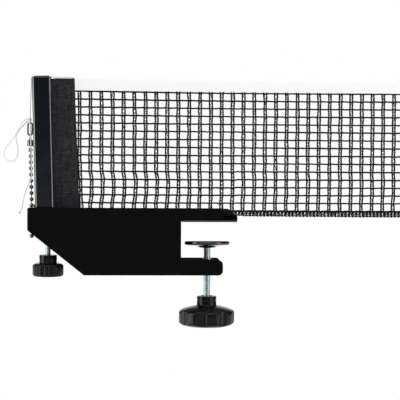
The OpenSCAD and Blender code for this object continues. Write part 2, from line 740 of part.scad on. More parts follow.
module chain_clasp() color([0.78, 0.76, 0.72]) {
    translate([chain_x(bell_top), 0, 0]) rotate_extrude($fn = small_fn)
        polygon([[0, bell_top], [0.9, bell_top], [bell_r - 0.9, bell_top - 1],
                 [bell_r - 0.2, bell_top - 2.6], [bell_r, bell_low], [bell_r - bell_wall, bell_low],
                 [bell_r - 0.2 - bell_wall, bell_top - 2.4], [bell_r - 1.2, bell_top - 1.4],
                 [0, bell_top - 1.4]]);
    translate([ring_x, 0, bell_top - 0.5])
        cylinder(h = eye_z - eye_r - bell_top + 0.5, d = 1.6, $fn = wire_fn);
    translate([ring_x, 0, eye_z]) rotate([0, 90, 0])
        rotate_extrude($fn = small_fn) translate([eye_r, 0]) circle(d = eye_wire, $fn = wire_fn);
}

// the ball below the catch holds the chain against the cord's pull
module chain_taut() color([0.78, 0.76, 0.72]) {
    wire([chain_x0, 0, seat_z], [chain_x0, 0, catch_z], link_d);
    wire([chain_x0, 0, catch_z], [chain_x(bell_top - 1.4), 0, bell_top - 1.4], link_d);
    translate([chain_x0, 0, seat_z]) sphere(d = bead_d, $fn = small_fn);
    for (i = [0 : taut_beads]) {
        z = bead_z0 + i * bead_pitch;
        translate([chain_x(z), 0, z]) sphere(d = bead_d, $fn = small_fn);
    }
}

module chain_tail() color([0.78, 0.76, 0.72]) {
    wire([chain_x0, 0, seat_z - tail_beads * bead_pitch],
         [chain_x0, 0, seat_z - bead_d / 2 - run_gap], link_d);
    for (i = [1 : tail_beads])
        translate([chain_x0, 0, seat_z - i * bead_pitch]) sphere(d = bead_d, $fn = small_fn);
}

module bow_loop() color([0.93, 0.93, 0.90]) sweep(finer(bow_route), cord_d);

module cord_tail() color([0.93, 0.93, 0.90]) sweep(finer(tail_route), cord_d);

module tail_knot() color([0.93, 0.93, 0.90]) {
    last = tail_route[len(tail_route) - 1];
    before = tail_route[len(tail_route) - 2];
    translate(last + unit(last - before) * 1.1) sphere(r = 1.1, $fn = small_fn);
}

// ---------- net ----------

// a flat grid of yarns between the band's slanting edge and the end binding
module net_mesh() color([0.05, 0.05, 0.055]) {
    bar_left = band_x(mesh_low);
    across(-yarn / 2, yarn / 2) difference() {
        polygon([[band_x(mesh_low), mesh_low], [net_reach, mesh_low], [net_reach, mesh_top + mesh_fold],
                 [band_x(mesh_top + mesh_fold), mesh_top + mesh_fold]]);
        for (row = [0 : mesh_rows - 1]) {
            z0 = mesh_low + yarn + row * mesh_pitch_z;
            z1 = z0 + mesh_pitch_z - yarn;
            polygon([[band_x(z0) + yarn, z0], [first_upright - yarn / 2, z0],
                     [first_upright - yarn / 2, z1], [band_x(z1) + yarn, z1]]);
            for (i = [0 : upright_count - 1])
                translate([first_upright + yarn / 2 + i * mesh_pitch_x, z0])
                    square([min(mesh_pitch_x - yarn,
                                net_reach - 2 * yarn - first_upright - i * mesh_pitch_x), z1 - z0]);
        }
    }
}

// two yarns with cross bars between them
module net_hem() color([0.05, 0.05, 0.055]) {
    hem_bar = 0.9;
    hem_pitch = 14;
    bays = floor((net_reach + band_low_x) / hem_pitch);
    bay = (net_reach + band_low_x - hem_bar) / bays;
    across(-yarn / 2, yarn / 2) difference() {
        translate([-band_low_x, hem_rise]) square([net_reach + band_low_x, mesh_low - hem_rise]);
        for (i = [0 : bays - 1])
            translate([-band_low_x + hem_bar + i * bay, hem_rise + hem_bar])
                square([bay - hem_bar, mesh_low - hem_rise - 2 * hem_bar]);
    }
}

// folded over the net's top and open along its lower edge
module top_tape() color([0.95, 0.95, 0.94]) {
    along(band_x(mesh_top) + 0.02, net_reach) difference() {
        polygon(concat([[tape_t / 2 - 0.2, mesh_top]],
                       arc(0, net_height - tape_t / 2, tape_t / 2, 0, 180, 8),
                       [[0.2 - tape_t / 2, mesh_top]]));
        polygon(concat([[tape_t / 2 - 0.2 - tape_layer, mesh_top - 1]],
                       arc(0, net_height - tape_t / 2, tape_t / 2 - tape_layer, 0, 180, 8),
                       [[tape_layer + 0.2 - tape_t / 2, mesh_top - 1]]));
    }
}

// X of a point of the post's cross-section at a height
function post_at(x, z) = post_x + x / cos(post_lean) - z * lean_shift;

// sewn band that ends in a sleeve round the keeper rod, inside the post
module side_band() color([0.17, 0.17, 0.19]) {
    slot_x = post_w / 4 + 1;
    difference() {
        union() {
            across(-band_t / 2, band_t / 2) polygon([
                [band_x(hem_rise), hem_rise], [band_x(band_top - 1), band_top - 1],
                [-band_top_x - 4, band_top], [post_at(slot_x, band_top), band_top],
                [post_at(slot_x, rod_top), rod_top], [post_at(rod_x, rod_top), rod_top],
                [post_at(rod_x, hem_rise), hem_rise]]);
            in_post() translate([rod_x, 0, rod_low - 1])
                cylinder(h = rod_top - rod_low + 0.5, d = rod_d + 2 * sleeve_t);
        }
        in_post() translate([rod_x, 0, rod_low]) cylinder(h = rod_top, d = rod_d + 2 * fit_gap);
    }
}

module keeper_rod() color([0.30, 0.30, 0.32]) {
    in_post() translate([rod_x, 0, rod_low]) cylinder(h = rod_top - rod_low, d = rod_d);
}

module end_binding() color([0.17, 0.17, 0.19]) {
    translate([net_reach, -band_t / 2, hem_rise]) cube([binding_w, band_t, net_height - hem_rise]);
}

side_shell();
jaw_liner();
rest_pad();
clamp_nut();
lift_bridge();
lift_nut();
post_guide_front();
post_guide_rear();
swivel_washer();
clamp_screw();
clamp_knob();
knob_insert();
pressure_plate();
plate_pad();
post_tube();
post_cap();
post_foot();
chain_catch();
catch_rivets();
tension_cord();
cord_knot();
cord_ring();
chain_clasp();
chain_taut();
chain_tail();
bow_loop();
cord_tail();
tail_knot();
net_mesh();
top_tape();
side_band();
net_hem();
keeper_rod();
end_binding();
lift_screw();
lift_knob();
lift_insert();
lift_clip();
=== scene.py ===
"""Table tennis net clamp: the visible pieces, their finishes, the studio and the camera.
Sizes are in millimetres and are turned into metres where a mesh is made."""

import random
from math import atan2, copysign, cos, degrees, hypot, pi, radians, sin, sqrt, tan, tau

import bmesh
import bpy
from mathutils import Matrix, Vector


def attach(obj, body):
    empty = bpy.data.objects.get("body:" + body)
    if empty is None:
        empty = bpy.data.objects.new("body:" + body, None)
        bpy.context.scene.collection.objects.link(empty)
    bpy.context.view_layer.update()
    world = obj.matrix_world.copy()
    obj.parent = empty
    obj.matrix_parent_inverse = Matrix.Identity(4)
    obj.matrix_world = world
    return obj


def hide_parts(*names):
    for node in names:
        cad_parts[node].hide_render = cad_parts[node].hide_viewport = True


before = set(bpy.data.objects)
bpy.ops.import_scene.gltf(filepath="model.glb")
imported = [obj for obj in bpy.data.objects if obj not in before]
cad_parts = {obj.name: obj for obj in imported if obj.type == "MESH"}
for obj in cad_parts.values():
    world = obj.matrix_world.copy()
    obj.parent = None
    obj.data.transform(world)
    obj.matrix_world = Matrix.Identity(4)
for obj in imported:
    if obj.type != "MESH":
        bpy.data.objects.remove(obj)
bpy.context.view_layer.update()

MM = 0.001

# ---------- sizes taken over from the solids, in millimetres ----------
CLAMP_X = 29.3
LIFT_X = -141.2
POST_X = -144.5
LEAN = radians(1.6)
CHAIN_X0 = -158.844
CHAIN_LEAN = tan(radians(1.38))
PLATE_HANG = radians(4.5)
CATCH_Z = 12.3
SEAT_Z = 8.948
BEAD_PITCH = 6.56
NET_TOP = 152.5
TAPE_LOW = 138.5
HEM_LOW = 4.7
MESH_LOW = 10.0
NET_END = 244.0
ROW_PITCH = 8.5
BAND_FOOT_X = -107.7    # the band's slanting edge, at the hem
BAND_HEAD_X = -114.0    # and at the band's top
BAND_TOP = 151.6
BALL_Z = -27.4
RING_Z = 96.86
BEAD_R = 2.3
LINK_END = 1.2    # from a ball's middle to the link's end inside it
CORD_R = 0.6
CORD_SIDES = 12
STITCH_HEIGHTS = [HEM_LOW + 3 + 3.1 * i for i in range(46)]
PAD_MIDDLE = 0.4
PAD_SWELL = 0.8
TAPE_EDGE = 2.4   # the tape's seam above its lower edge

BOW_ROUTE = [(-162.7, -0.4, 107.3), (-165.6, -1, 107), (-168.4, -1.2, 104.4), (-171.4, -1.1, 100.2),
             (-173.9, -1, 95.4), (-176.2, -1, 90.2), (-179.9, -0.8, 85.3), (-184.2, -0.6, 80.4),
             (-187.4, -0.4, 74.8), (-188.2, -0.1, 69.4), (-185.8, 0.1, 64.5), (-181, 0.4, 62.4),
             (-176.8, 0.6, 64), (-174.3, 0.8, 69), (-173.9, 1, 75), (-174.8, 1.1, 81.6),
             (-176, 1.2, 88.2), (-173.8, 1.1, 94), (-169.2, 0.8, 99.4), (-165, 0.5, 104),
             (-162.8, 0.2, 106)]
TAIL_ROUTE = [(-161.1, -1.5, 106.3), (-161, -3.3, 104.2), (-160.6, -4.2, 98.6), (-160, -4.4, 90),
              (-159.6, -4.4, 80), (-159.2, -4.4, 70), (-159, -4.2, 60), (-158.7, -4, 51),
              (-159.1, -4, 44.4), (-162.2, -3.8, 38), (-165.4, -3.4, 31.4), (-167, -3, 24.8),
              (-168.4, -2.6, 17.4), (-169.6, -2.2, 11.6), (-171.1, -2, 8.8)]


# ---------- camera ----------

def set_camera():
    """Stands a little to the left of the middle and a little above the playing surface."""
    azimuth, elevation, roll = radians(-4.5), radians(2.16), radians(0.45)
    target, distance = Vector((0.0198, -0.019, 0.0228)), 1.55
    back = Vector((sin(azimuth) * cos(elevation), -cos(azimuth) * cos(elevation), sin(elevation)))
    right = (-back).cross(Vector((0, 0, 1))).normalized()
    up = right.cross(-back)
    right_rolled = right * cos(roll) + up * sin(roll)
    up_rolled = up * cos(roll) - right * sin(roll)
    bpy.ops.object.camera_add(location=target + back * distance)
    camera = bpy.context.object
    axes = Matrix((right_rolled, up_rolled, back)).transposed()
    camera.rotation_mode = "QUATERNION"
    camera.rotation_quaternion = axes.to_quaternion()
    camera.data.sensor_width = 36
    camera.data.lens = 131.1
    camera.data.clip_start, camera.data.clip_end = 0.05, 20
    bpy.context.scene.camera = camera


# ---------- shader building ----------

FINISH = {}


def link(output, socket):
    output.id_data.links.new(output, socket)


def feed(socket, value):
    """Links another node's output to the socket, or sets it to a number or colour."""
    if isinstance(value, bpy.types.NodeSocket):
        link(value, socket)
    elif isinstance(value, tuple) and len(value) == 3 and socket.type == "RGBA":
        socket.default_value = (*value, 1)
    else:
        socket.default_value = value


def new_material(name, color, roughness, metallic=0.0, **sockets):
    """A plain material, filed in FINISH under its name."""
    material = FINISH[name] = bpy.data.materials.new(name)
    material.use_nodes = True
    shader = material.node_tree.nodes["Principled BSDF"]
    for label, value in dict(sockets, Base_Color=color, Roughness=roughness, Metallic=metallic).items():
        feed(shader.inputs[label.replace("_", " ")], value)
    material.diffuse_color = (*color, 1)
    return material.node_tree, shader


def math_node(operation, *values, clamp=False):
    tree = next(value.id_data for value in values if isinstance(value, bpy.types.NodeSocket))
    node = tree.nodes.new("ShaderNodeMath")
    node.operation, node.use_clamp = operation, clamp
    for socket, value in zip(node.inputs, values):
        feed(socket, value)
    return node.outputs[0]


def plus(a, b):
    return math_node("ADD", a, b)


def less(a, b):
    return math_node("SUBTRACT", a, b)


def times(a, b, clamp=False):
    return math_node("MULTIPLY", a, b, clamp=clamp)


def over(a, b):
    return math_node("DIVIDE", a, b)


def most(a, b):
    return math_node("MAXIMUM", a, b)


def size_of(value):
    return math_node("ABSOLUTE", value)


def humps(value):
    """One rounded hump for each whole step of the value."""
    return size_of(math_node("SINE", times(value, pi)))


def axes_of(vector):
    node = vector.id_data.nodes.new("ShaderNodeSeparateXYZ")
    link(vector, node.inputs[0])
    return node.outputs


def group_of(name, inputs, outputs):
    """Starts a node group and gives the sockets to build between. An input without a default is a
    vector."""
    def kind(label):
        return "NodeSocket" + (label if label in ("Vector", "Color") else "Float")

    tree = bpy.data.node_groups.new(name, "ShaderNodeTree")
    for label, default in inputs:
        socket = tree.interface.new_socket(name=label, in_out="INPUT", socket_type=kind(label.split()[-1]))
        if default is not None:
            socket.default_value = default
    for label in outputs:
        tree.interface.new_socket(name=label, in_out="OUTPUT", socket_type=kind(label))
    return tree.nodes.new("NodeGroupInput").outputs, tree.nodes.new("NodeGroupOutput").inputs


def noise(place, scale, detail=2.0, roughness=0.5):
    node = place.id_data.nodes.new("ShaderNodeTexNoise")
    for label, value in (("Vector", place), ("Scale", scale), ("Detail", detail), ("Roughness", roughness)):
        feed(node.inputs[label], value)
    return node.outputs["Fac"]


def ramp(value, low, high):
    node = value.id_data.nodes.new("ShaderNodeMapRange")
    for label, given in (("Value", value), ("From Min", low), ("From Max", high)):
        feed(node.inputs[label], given)
    return node.outputs["Result"]


def mix_color(factor, a, b):
    node = factor.id_data.nodes.new("ShaderNodeMix")
    node.data_type = "RGBA"
    for index, value in ((0, factor), (6, a), (7, b)):
        feed(node.inputs[index], value)
    return node.outputs[2]


def make_surface_group():
    """Handling marks: slow changes of shade, fine specks and rubbed patches of another colour."""
    given, out = group_of(
        "handled_surface", [("Vector", None), ("Color", (0.1, 0.1, 0.1, 1)),
                            ("Worn Color", (0.3, 0.3, 0.3, 1)), ("Wear", 0.2), ("Patch Scale", 60.0),
                            ("Roughness", 0.4), ("Spread", 0.08)], ["Color", "Roughness"])
    patches = noise(given["Vector"], given["Patch Scale"], 4, 0.55)
    specks = noise(given["Vector"], times(given["Patch Scale"], 14.0), 2, 0.6)
    rubbed = times(ramp(patches, 0.52, 0.78), given["Wear"], clamp=True)
    speckled = times(ramp(specks, 0.66, 0.80), given["Wear"], clamp=True)
    both = most(rubbed, times(speckled, 0.8))
    link(mix_color(both, given["Color"], given["Worn Color"]), out["Color"])
    change = times(less(patches, 0.5), given["Spread"])
    link(plus(given["Roughness"], times(change, 3.0)), out["Roughness"])
    return given[0].id_data


def make_grain_group():
    """Height of a moulded or sprayed skin: two sizes of bumps."""
    given, out = group_of("fine_grain", [("Vector", None), ("Scale", 900.0), ("Coarse", 0.3)], ["Height"])
    fine = noise(given["Vector"], given["Scale"], 2, 0.55)
    coarse = noise(given["Vector"], times(given["Scale"], 0.22), 1, 0.5)
    link(plus(fine, times(coarse, given["Coarse"])), out["Height"])
    return given[0].id_data


def make_weave_group():
    """Plain weave on two chosen directions: warp and weft counted in threads for each metre."""
    given, out = group_of("plain_weave", [("Vector", None), ("Warp", 1100.0), ("Weft", 900.0)],
                          ["Height", "Gaps"])
    place = axes_of(given["Vector"])
    across = times(place["X"], given["Warp"])
    along = times(place["Z"], given["Weft"])
    cell = plus(math_node("FLOOR", across), math_node("FLOOR", along))
    warp_up = math_node("PINGPONG", cell, 1.0)
    weft_up = less(1.0, warp_up)
    height = most(times(humps(across), plus(warp_up, 0.45)), times(humps(along), plus(weft_up, 0.45)))
    link(height, out["Height"])
    # This mask marks where the threads dip; the woven finish paints it darker as shade.
    link(less(1.0, times(height, 0.7)), out["Gaps"])
    return given[0].id_data


def make_twist_group():
    """Strands of a twisted or braided cord on its UV map: U round the cord, V along it in metres."""
    given, out = group_of("cord_lay", [("Strands", 3.0), ("Turns", 400.0), ("Braid", 0.0)],
                          ["Height", "Valley"])
    uv = given[0].id_data.nodes.new("ShaderNodeUVMap")
    uv.uv_map = "lay"
    place = axes_of(uv.outputs["UV"])
    round_it = times(place["X"], given["Strands"])
    along = times(place["Y"], given["Turns"])
    right = humps(plus(round_it, along))
    left = humps(less(round_it, along))
    other = plus(times(left, given["Braid"]), times(right, less(1.0, given["Braid"])))
    height = times(plus(right, other), 0.5)
    link(height, out["Height"])
    # This mask marks the hollows between the strands; the cord finish paints them darker as shade.
    link(less(1.0, height), out["Valley"])
    return given[0].id_data


SURFACE, GRAIN = make_surface_group(), make_grain_group()
WEAVE, TWIST = make_weave_group(), make_twist_group()


def object_place(tree):
    return tree.nodes.new("ShaderNodeTexCoord").outputs["Object"]


def placed(tree, group, vector=None, **values):
    node = tree.nodes.new("ShaderNodeGroup")
    node.node_tree = group
    if vector is not None:
        link(vector, node.inputs["Vector"])
    for label, value in values.items():
        feed(node.inputs[label.replace("_", " ")], value)
    return node.outputs


def stretched(place, scale):
    node = place.id_data.nodes.new("ShaderNodeMapping")
    feed(node.inputs["Scale"], scale)
    link(place, node.inputs["Vector"])
    return node.outputs[0]


def bump(shader, height, strength, distance):
    node = height.id_data.nodes.new("ShaderNodeBump")
    for label, value in (("Height", height), ("Strength", strength), ("Distance", distance)):
        feed(node.inputs[label], value)
    link(node.outputs["Normal"], shader.inputs["Normal"])


def hard_finish(name, color, worn, roughness, metallic=0.0, wear=0.25, patch=60.0, spread=0.08,
                grain=900.0, strength=0.15, distance=0.00004, coarse=0.3, **sockets):
    """A sprayed, plated or moulded skin."""
    tree, shader = new_material(name, color, roughness, metallic, **sockets)
    place = object_place(tree)
    surface = placed(tree, SURFACE, place, Color=color, Worn_Color=worn, Wear=wear, Patch_Scale=patch,
                     Roughness=roughness, Spread=spread)
    link(surface["Color"], shader.inputs["Base Color"])
    link(surface["Roughness"], shader.inputs["Roughness"])
    bump(shader, placed(tree, GRAIN, place, Scale=grain, Coarse=coarse)["Height"], strength, distance)


def woven_finish(name, color, gap_shade_color, roughness, warp, weft, strength=0.6, sheen=0.3, shade=0.25,
                 distance=0.0002, mottle=None, **sockets):
    """Woven tape or webbing, with its threads on X and Z. mottle is the shade of its uneven streaks."""
    tree, shader = new_material(name, color, roughness, Sheen_Weight=sheen, Sheen_Roughness=0.5,
                                Specular_IOR_Level=0.2, **sockets)
    place = object_place(tree)
    weave = placed(tree, WEAVE, place, Warp=warp, Weft=weft)
    slow = placed(tree, SURFACE, place, Color=color, Worn_Color=tuple(min(1, c * 1.5 + 0.01) for c in color),
                  Wear=shade * 2, Patch_Scale=110.0, Roughness=roughness, Spread=0.05)
    ground = slow["Color"]
    if mottle:
        streaks = [noise(stretched(place, scale), 1.0, 3, 0.65)
                   for scale in ((420, 60, 45), (70, 60, 480), (330, 90, 300))]
        uneven = plus(plus(streaks[0], streaks[1]), streaks[2])
        ground = mix_color(ramp(uneven, 1.25, 1.78), mottle, ground)
    # Painted shade: the gaps between the threads are mixed towards the darker gap colour, as strongly as
    # shade asks; shade also sets the random lighter patches of tone.
    link(mix_color(times(weave["Gaps"], shade + 0.35), ground, gap_shade_color), shader.inputs["Base Color"])
    link(slow["Roughness"], shader.inputs["Roughness"])
    bump(shader, weave["Height"], strength, distance)


def cord_finish(name, color, valley, roughness, strands, turns, braid, strength=0.6, sheen=0.2,
                distance=0.0002, **sockets):
    tree, shader = new_material(name, color, roughness, Sheen_Weight=sheen, Sheen_Roughness=0.4, **sockets)
    lay = placed(tree, TWIST, Strands=strands, Turns=turns, Braid=braid)
    # Painted shade: the hollows between the strands are mixed towards the darker valley colour.
    link(mix_color(math_node("POWER", lay["Valley"], 2.0), color, valley), shader.inputs["Base Color"])
    bump(shader, lay["Height"], strength, distance)


hard_finish("bracket_paint", (0.0042, 0.0042, 0.0044), (0.008, 0.008, 0.0095), 0.5, wear=0.3, grain=1400.0,
            strength=0.1, Specular_IOR_Level=0.0, Coat_Weight=0.02, Coat_Roughness=0.3)
hard_finish("post_paint", (0.003, 0.0052, 0.0085), (0.008, 0.011, 0.017), 0.13, wear=0.3, spread=0.03,
            grain=1200.0, strength=0.02, Specular_IOR_Level=0.8, Coat_Weight=1.0, Coat_Roughness=0.05)
hard_finish("pad_grey", (0.06, 0.06, 0.06), (0.1, 0.1, 0.098), 0.8, wear=0.5, grain=1500.0, strength=0.4,
            distance=0.00008)
hard_finish("pad_black", (0.012, 0.012, 0.012), (0.03, 0.03, 0.03), 0.75, wear=0.5, grain=1600.0,
            strength=0.4, distance=0.00008, Specular_IOR_Level=0.3)
hard_finish("zinc", (0.52, 0.64, 0.69), (0.6, 0.68, 0.72), 0.3, metallic=1.0, wear=0.5, patch=220.0,
            spread=0.05, grain=2400.0, strength=0.05)
hard_finish("plate_paint", (0.085, 0.083, 0.08), (0.05, 0.048, 0.045), 0.13, metallic=1.0, wear=0.5,
            patch=90.0, grain=1100.0, strength=0.05)
hard_finish("black_plastic", (0.005, 0.005, 0.0055), (0.013, 0.013, 0.014), 0.17, wear=0.35, patch=140.0,
            grain=2200.0, strength=0.05, Specular_IOR_Level=0.17)
hard_finish("cap_plastic", (0.007, 0.007, 0.008), (0.02, 0.02, 0.02), 0.42, wear=0.3, grain=2000.0,
            strength=0.15)
hard_finish("guide_plastic", (0.012, 0.012, 0.013), (0.03, 0.03, 0.03), 0.5, wear=0.35, grain=2000.0,
            strength=0.2)
hard_finish("nickel", (0.19, 0.16, 0.125), (0.11, 0.09, 0.07), 0.14, metallic=1.0, wear=0.5, patch=400.0,
            spread=0.06, grain=3000.0, strength=0.04)
hard_finish("rod_plastic", (0.10, 0.10, 0.105), (0.2, 0.2, 0.2), 0.5)
cord_finish("cord_white", (0.78, 0.78, 0.77), (0.54, 0.54, 0.53), 0.55, 4.0, 420.0, 1.0, strength=0.5,
            distance=0.00012)
cord_finish("net_yarn", (0.0055, 0.0058, 0.0062), (0.002, 0.002, 0.002), 0.8, 3.0, 330.0, 0.0, sheen=0.0,
            Specular_IOR_Level=0.2)
cord_finish("net_filament", (0.07, 0.073, 0.076), (0.03, 0.03, 0.03), 0.5, 2.0, 500.0, 0.0, sheen=0.0)
woven_finish("band_weave", (0.040, 0.041, 0.046), (0.007, 0.007, 0.008), 0.85, 760.0, 560.0, sheen=0.03,
             mottle=(0.010, 0.010, 0.012))
woven_finish("tape_white", (0.93, 0.93, 0.925), (0.80, 0.80, 0.795), 0.8, 1500.0, 1300.0, strength=0.3,
             sheen=0.1, shade=0.06)
cord_finish("thread_white", (0.9, 0.9, 0.9), (0.7, 0.7, 0.7), 0.6, 2.0, 900.0, 0.0)
cord_finish("thread_black", (0.012, 0.012, 0.013), (0.004, 0.004, 0.004), 0.6, 2.0, 900.0, 0.0, sheen=0.0)


# ---------- modelling helpers ----------

def pick(*objects):
    bpy.ops.object.select_all(action="DESELECT")
    for obj in objects:
        obj.select_set(True)
    bpy.context.view_layer.objects.active = objects[0]


def apply_modifiers(obj):
    pick(obj)
    for name in [m.name for m in obj.modifiers]:
        bpy.ops.object.modifier_apply(modifier=name)


def join(pieces):
    pick(*pieces)
    bpy.ops.object.join()
    return bpy.context.object


def new_object(name, mesh):
    obj = bpy.data.objects.new(name, mesh)
    bpy.context.scene.collection.objects.link(obj)
    return obj


def built(build, name):
    """The object of a finished bmesh, with its faces outward."""
    bmesh.ops.recalc_face_normals(build, faces=build.faces)
    mesh = bpy.data.meshes.new(name)
    build.to_mesh(mesh)
    build.free()
    return new_object(name, mesh)


def shifted(obj, x, z=0.0):
    """Moves the mesh itself, in millimetres."""
    obj.data.transform(Matrix.Translation((x * MM, 0, z * MM)))
    return obj


def settle(obj):
    """Puts the piece's place and turn into its mesh."""
    pick(obj)
    bpy.ops.object.transform_apply(location=True, rotation=True, scale=True)


def edit_all(obj):
    pick(obj)
    bpy.ops.object.mode_set(mode="EDIT")
    bpy.ops.mesh.select_all(action="SELECT")


def leave_edit():
    bpy.ops.object.mode_set(mode="OBJECT")


def clean_normals(obj, distance=1e-6):
    edit_all(obj)
    bpy.ops.mesh.remove_doubles(threshold=distance)
    bpy.ops.mesh.normals_make_consistent(inside=False)
    leave_edit()


def round_edges(obj, width):
    """Rounds every edge sharper than 30 degrees; width in millimetres."""
    bevel = obj.modifiers.new("edge", "BEVEL")
    bevel.width, bevel.segments = width * MM, 2
    bevel.limit_method, bevel.angle_limit = "ANGLE", radians(30)
    bevel.use_clamp_overlap = True
    apply_modifiers(obj)


def finish_piece(obj, name, body, finish, replaced=(), smooth=35, level=False):
    """Gives the settled piece its finish and its body. level keeps large faces evenly shaded up to
    their eased edges."""
    settle(obj)
    obj.name = obj.data.name = name
    obj.data.materials.clear()
    obj.data.materials.append(FINISH[finish])
    bpy.ops.object.shade_smooth_by_angle(angle=radians(smooth))
    if level:
        obj.modifiers.new("level", "WEIGHTED_NORMAL").keep_sharp = True
        apply_modifiers(obj)
    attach(obj, body)
    if replaced:
        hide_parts(*([replaced] if isinstance(replaced, str) else replaced))
    return obj


def dressed(node, body, finish, edge):
    """The solid itself with its edges eased: a merged copy takes the node's place."""
    obj = new_object(node + "_eased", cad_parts[node].data.copy())
    edit_all(obj)
    bpy.ops.mesh.remove_doubles(threshold=2e-6)
    bpy.ops.mesh.dissolve_limited(angle_limit=radians(0.6))
    leave_edit()
    round_edges(obj, edge)
    return finish_piece(obj, node + "_piece", body, finish, node, level=True)


def swell_rest_pad():
    """The rest's thin pad swells a little below the plates' lower edge."""
    for vertex in bpy.data.objects["rest_pad_piece"].data.vertices:
        if vertex.co.z < PAD_MIDDLE * MM:
            vertex.co.z -= PAD_SWELL * MM


def turned(section, steps, x=0.0):
    """Extrudes one vertex along a half section of (radius, height) points and spins the line round the
    upright axis at x."""
    bpy.ops.mesh.primitive_plane_add(size=0.001, location=(0, 0, 0))
    obj = bpy.context.object
    edit_all(obj)
    bpy.ops.mesh.merge(type="CENTER")
    last = Vector((section[0][0], 0, section[0][1])) * MM
    bpy.ops.transform.translate(value=last)
    for radius, height in section[1:]:
        point = Vector((radius, 0, height)) * MM
        bpy.ops.mesh.extrude_region_move(TRANSFORM_OT_translate={"value": point - last})
        last = point
    bpy.ops.mesh.select_all(action="SELECT")
    bpy.ops.mesh.spin(steps=steps, angle=tau, center=(0, 0, 0), axis=(0, 0, 1))
    bpy.ops.mesh.select_all(action="SELECT")
    bpy.ops.mesh.remove_doubles(threshold=1e-6)
    bpy.ops.mesh.normals_make_consistent(inside=False)
    leave_edit()
    return shifted(obj, x)


def bowed(cx, cz, radius, start, end, count):
    """Points of an arc of a half section, in order from one angle to the other, in degrees."""
    return [(cx + radius * cos(radians(start + (end - start) * i / count)),
             cz + radius * sin(radians(start + (end - start) * i / count)))
            for i in range(count + 1)]


def cut_flat(obj, height, keep_below):
    """Cuts level at a height in millimetres and closes the cut."""
    edit_all(obj)
    bpy.ops.mesh.bisect(plane_co=(0, 0, height * MM), plane_no=(0, 0, 1), use_fill=True,
                        clear_outer=keep_below, clear_inner=not keep_below)
    leave_edit()


def threaded_rod(x, low, high, outer, pitch):
    """One pitch of the thread's flank, screwed up along the rod and cut level at both ends."""
    outer_r, inner_r, steps = outer / 2, outer / 2 - 0.6134 * pitch, 28
    flank = [(inner_r, 0), (inner_r, 0.18), (outer_r, 0.45), (outer_r, 0.57), (inner_r, 0.84), (inner_r, 1)]
    turns = int((high - low) / pitch) + 3
    mesh = bpy.data.meshes.new("flank")
    mesh.from_pydata([(r * MM, 0, (low - 1.5 * pitch + t * pitch) * MM) for r, t in flank],
                     [(i, i + 1) for i in range(len(flank) - 1)], [])
    obj = new_object("thread", mesh)
    screw = obj.modifiers.new("turns", "SCREW")
    screw.axis, screw.screw_offset = "Z", pitch * MM
    screw.iterations, screw.steps, screw.render_steps = turns, steps, steps
    screw.use_merge_vertices, screw.merge_threshold = True, 1e-6
    apply_modifiers(obj)
    clean_normals(obj, 2e-6)
    cut_flat(obj, high, True)
    cut_flat(obj, low, False)
    clean_normals(obj, 1e-7)
    return shifted(obj, x)


def catmull(points, per_span):
    """A smooth line through the points, with the same number of steps in each span."""
    line = []
    last = len(points) - 1
    for i in range(last):
        a, b, c, d = (Vector(points[max(i - 1, 0)]), Vector(points[i]), Vector(points[i + 1]),
                      Vector(points[min(i + 2, last)]))
        for k in range(per_span):
            t = k / per_span
            line.append(0.5 * (2 * b + (c - a) * t + (2 * a - 5 * b + 4 * c - d) * t * t
                               + (3 * b - 3 * c + d - a) * t ** 3))
    return line + [Vector(points[last])]


def swept_mesh(lines, radius, sides, closed=False, taper=0, swell=None):
    """Round cords along lines of points in millimetres, in one mesh. The UV map has U round the cord
    and V along it in metres."""
    build = bmesh.new()
    lay = build.loops.layers.uv.new("lay")
    for line in lines:
        points = [Vector(p) * MM for p in line]
        count = len(points)
        up = None
        rings, run, travelled = [], [], 0.0
        for i, point in enumerate(points):
            if closed:
                direction = (points[(i + 1) % count] - points[i - 1]).normalized()
            else:
                direction = (points[min(i + 1, count - 1)] - points[max(i - 1, 0)]).normalized()
            if up is None:
                up = Vector((0, 1, 0)) if abs(direction.y) < 0.9 else Vector((0, 0, 1))
            up = (up - direction * up.dot(direction)).normalized()
            side = direction.cross(up)
            size = radius * MM * (swell(line[i]) if swell else 1)
            if taper and not closed and i in (0, count - 1):
                size *= taper
            rings.append([build.verts.new(point + size * (cos(tau * k / sides) * side
                                                          + sin(tau * k / sides) * up))
                          for k in range(sides)])
            if i:
                travelled += (point - points[i - 1]).length
            run.append(travelled)
        spans = count if closed else count - 1
        total = run[-1] + (points[0] - points[-1]).length
        for i in range(spans):
            j = (i + 1) % count
            far = total if closed and j == 0 else run[j]
            for k in range(sides):
                m = (k + 1) % sides
                face = build.faces.new((rings[i][k], rings[i][m], rings[j][m], rings[j][k]))
                for loop, uv in zip(face.loops, ((k, run[i]), (k + 1, run[i]), (k + 1, far), (k, far))):
                    loop[lay].uv = (uv[0] / sides, uv[1])
        if not closed:
            build.faces.new(list(reversed(rings[0])))
            build.faces.new(rings[-1])
    return built(build, "cord")


def post_x(local_x, z):
    """X of a point of the leaning post's section at a height, in millimetres."""
    return POST_X + local_x / cos(LEAN) - z * tan(LEAN)


def band_edge_x(z):
    return BAND_FOOT_X - (z - HEM_LOW) * (BAND_FOOT_X - BAND_HEAD_X) / (BAND_TOP - HEM_LOW)


def chain_x(z):
    return CHAIN_X0 - (z - CATCH_Z) * CHAIN_LEAN


# ---------- free cords ----------

